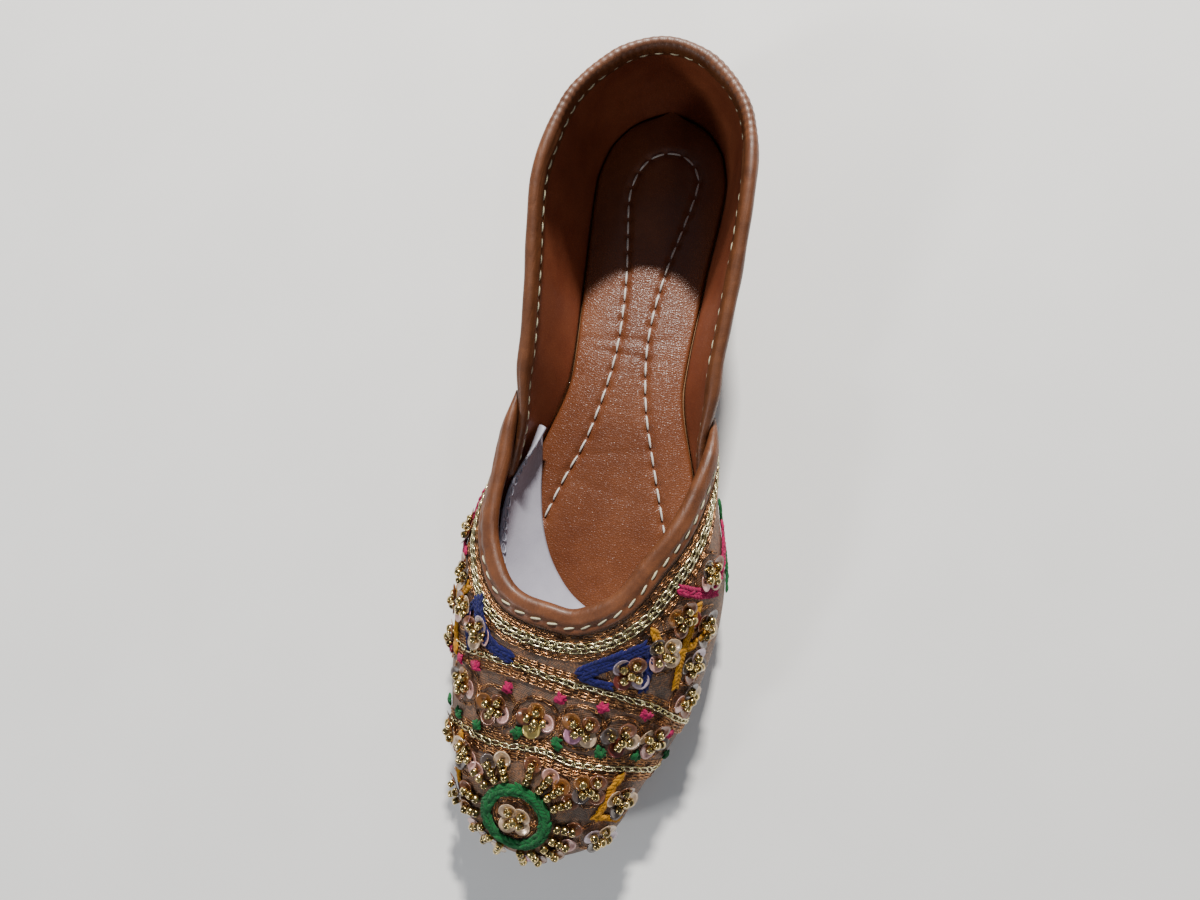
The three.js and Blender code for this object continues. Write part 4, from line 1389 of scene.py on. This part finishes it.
def lining_strip():
    """A ruled sheet between two curves, bowed outwards by half a sine, with a row of pressed ovals."""
    foot, top = rounded(LINING_FOOT, 16), rounded(LINING_TOP, 16)
    t = np.linspace(0, 1, 24)[None, :, None]
    sheet = foot[:, None] * (1 - t) + top[:, None] * t
    run, rise = np.gradient(sheet, axis=0), np.gradient(sheet, axis=1)
    face = unit(np.cross(rise, run))
    face *= np.sign((face * (FOOT_PLACE - sheet)).sum(-1, keepdims=True))
    sheet = sheet - face * (1.6 * np.sin(np.pi * t))
    rings = np.concatenate([sheet + face * HALF_CLOTH, (sheet - face * HALF_CLOTH)[:, ::-1]], 1) + SHIFT
    strip = new_piece("white_lining_strip", rings.reshape(-1, 3), shell(rings), [WHITE], "upper")
    edge = sheet[:, OVAL_POINT] + face[:, OVAL_POINT] * 0.2
    # the row starts two pitches from the tip and stops nine short of the other end
    spots = resample(edge, OVAL_PITCH)[2:-9]
    out = face[nearest(spots, edge), OVAL_POINT]
    along = unit(np.gradient(spots, axis=0))
    template, quads = link_shape(2.0, 1.6, 0.55, around=16)
    points, faces = scatter(template, quads, spots, along, unit(np.cross(out, along)), out)
    new_piece("pressed_ovals", points + SHIFT, faces, [WHITE], "upper")


lining_strip()

# %% [markdown]
# ## Camera, light and floor
# The camera keeps the photograph's distance, height and roll over the shoe, which a fit of the last's outline
# gave, and only turns and widens enough to take in the whole heel. One small key comes from behind the heel
# and throws the heel seat into shade. A wide one would blur the shade's edge. Two weak lights and a pale sky
# fill the rest.

# %% Camera
CAMERA_AT = np.array([28.2, -32.8, 238.0]) + SHIFT
PHOTO_AIM = np.array([47.5, -7.2, 0.0]) + SHIFT
PHOTO_ROLL = 8.47
NEW_AIM = np.array([-5.0, -2.0, 10.0]) + SHIFT
LENS = 21.3


def rolled_up(position, aim, roll):
    """The up direction of a camera that looks at a point, rolled in degrees from the shoe's own length."""
    forward = unit(aim - position)
    right = unit(np.cross(forward, [0.0, 1.0, 0.0]))
    angle = np.radians(roll)
    return np.cross(right, forward) * np.cos(angle) - right * np.sin(angle)


photo_up = rolled_up(CAMERA_AT, PHOTO_AIM, PHOTO_ROLL)
forward = unit(NEW_AIM - CAMERA_AT)
up = unit(photo_up - forward * photo_up.dot(forward))
right = np.cross(forward, up)
camera_data = bpy.data.cameras.new("camera")
camera_data.lens = LENS
camera_data.sensor_width = 36.0
camera_data.clip_start = 0.01
camera = bpy.data.objects.new("camera", camera_data)
facing = Matrix([[right[k], up[k], -forward[k]] for k in range(3)]).to_4x4()
camera.matrix_world = Matrix.Translation(Vector(CAMERA_AT * MM)) @ facing
bpy.context.scene.collection.objects.link(camera)
bpy.context.scene.camera = camera
print("camera at", (CAMERA_AT * MM).round(3), "lens", LENS)


# %% Light and floor
def area_light(name, place, aim, wide, high, power, tone=(1.0, 1.0, 1.0)):
    """A rectangular area light at a place, turned to an aim, in metres."""
    data = bpy.data.lights.new(name, "AREA")
    data.shape = "RECTANGLE"
    data.size = wide
    data.size_y = high
    data.energy = power
    data.color = tone
    light = bpy.data.objects.new(name, data)
    light.location = place
    light.rotation_euler = (Vector(aim) - Vector(place)).to_track_quat("-Z", "Y").to_euler()
    bpy.context.scene.collection.objects.link(light)


area_light("key", (-0.02, 1.02, 0.8), (0, 0.0, 0.02), 0.12, 0.04, 36.0, (1.0, 0.96, 0.9))
area_light("soft side", (-0.85, -0.6, 0.7), (0, -0.05, 0.02), 0.16, 0.16, 5.4)
area_light("soft front", (0.4, -0.95, 0.6), (0, -0.07, 0.02), 0.1, 0.1, 1.8)
world = bpy.data.worlds.new("pale sky")
world.use_nodes = True
sky = world.node_tree.nodes["Background"].inputs
sky["Color"].default_value = (0.8, 0.88, 1.0, 1)
sky["Strength"].default_value = 0.19
bpy.context.scene.world = world

floor_mesh = bpy.data.meshes.new("floor")
FLOOR_HALF, FLOOR_Z = 3, -1e-4
corners = [(x * FLOOR_HALF, y * FLOOR_HALF, FLOOR_Z) for x, y in ((-1, -1), (1, -1), (1, 1), (-1, 1))]
floor_mesh.from_pydata(corners, [], [(0, 1, 2, 3)])
floor = bpy.data.objects.new("floor", floor_mesh)
floor_paint = Paint("pale floor", Roughness=0.8)
floor_stops = [(0.3, (0.86, 0.86, 0.85, 1)), (0.7, (0.9, 0.9, 0.89, 1))]
floor_tone = floor_paint.ramp(floor_paint.noise(60.0), floor_stops)
floor_mesh.materials.append(floor_paint.use(Base_Color=floor_tone))
bpy.context.scene.collection.objects.link(floor)
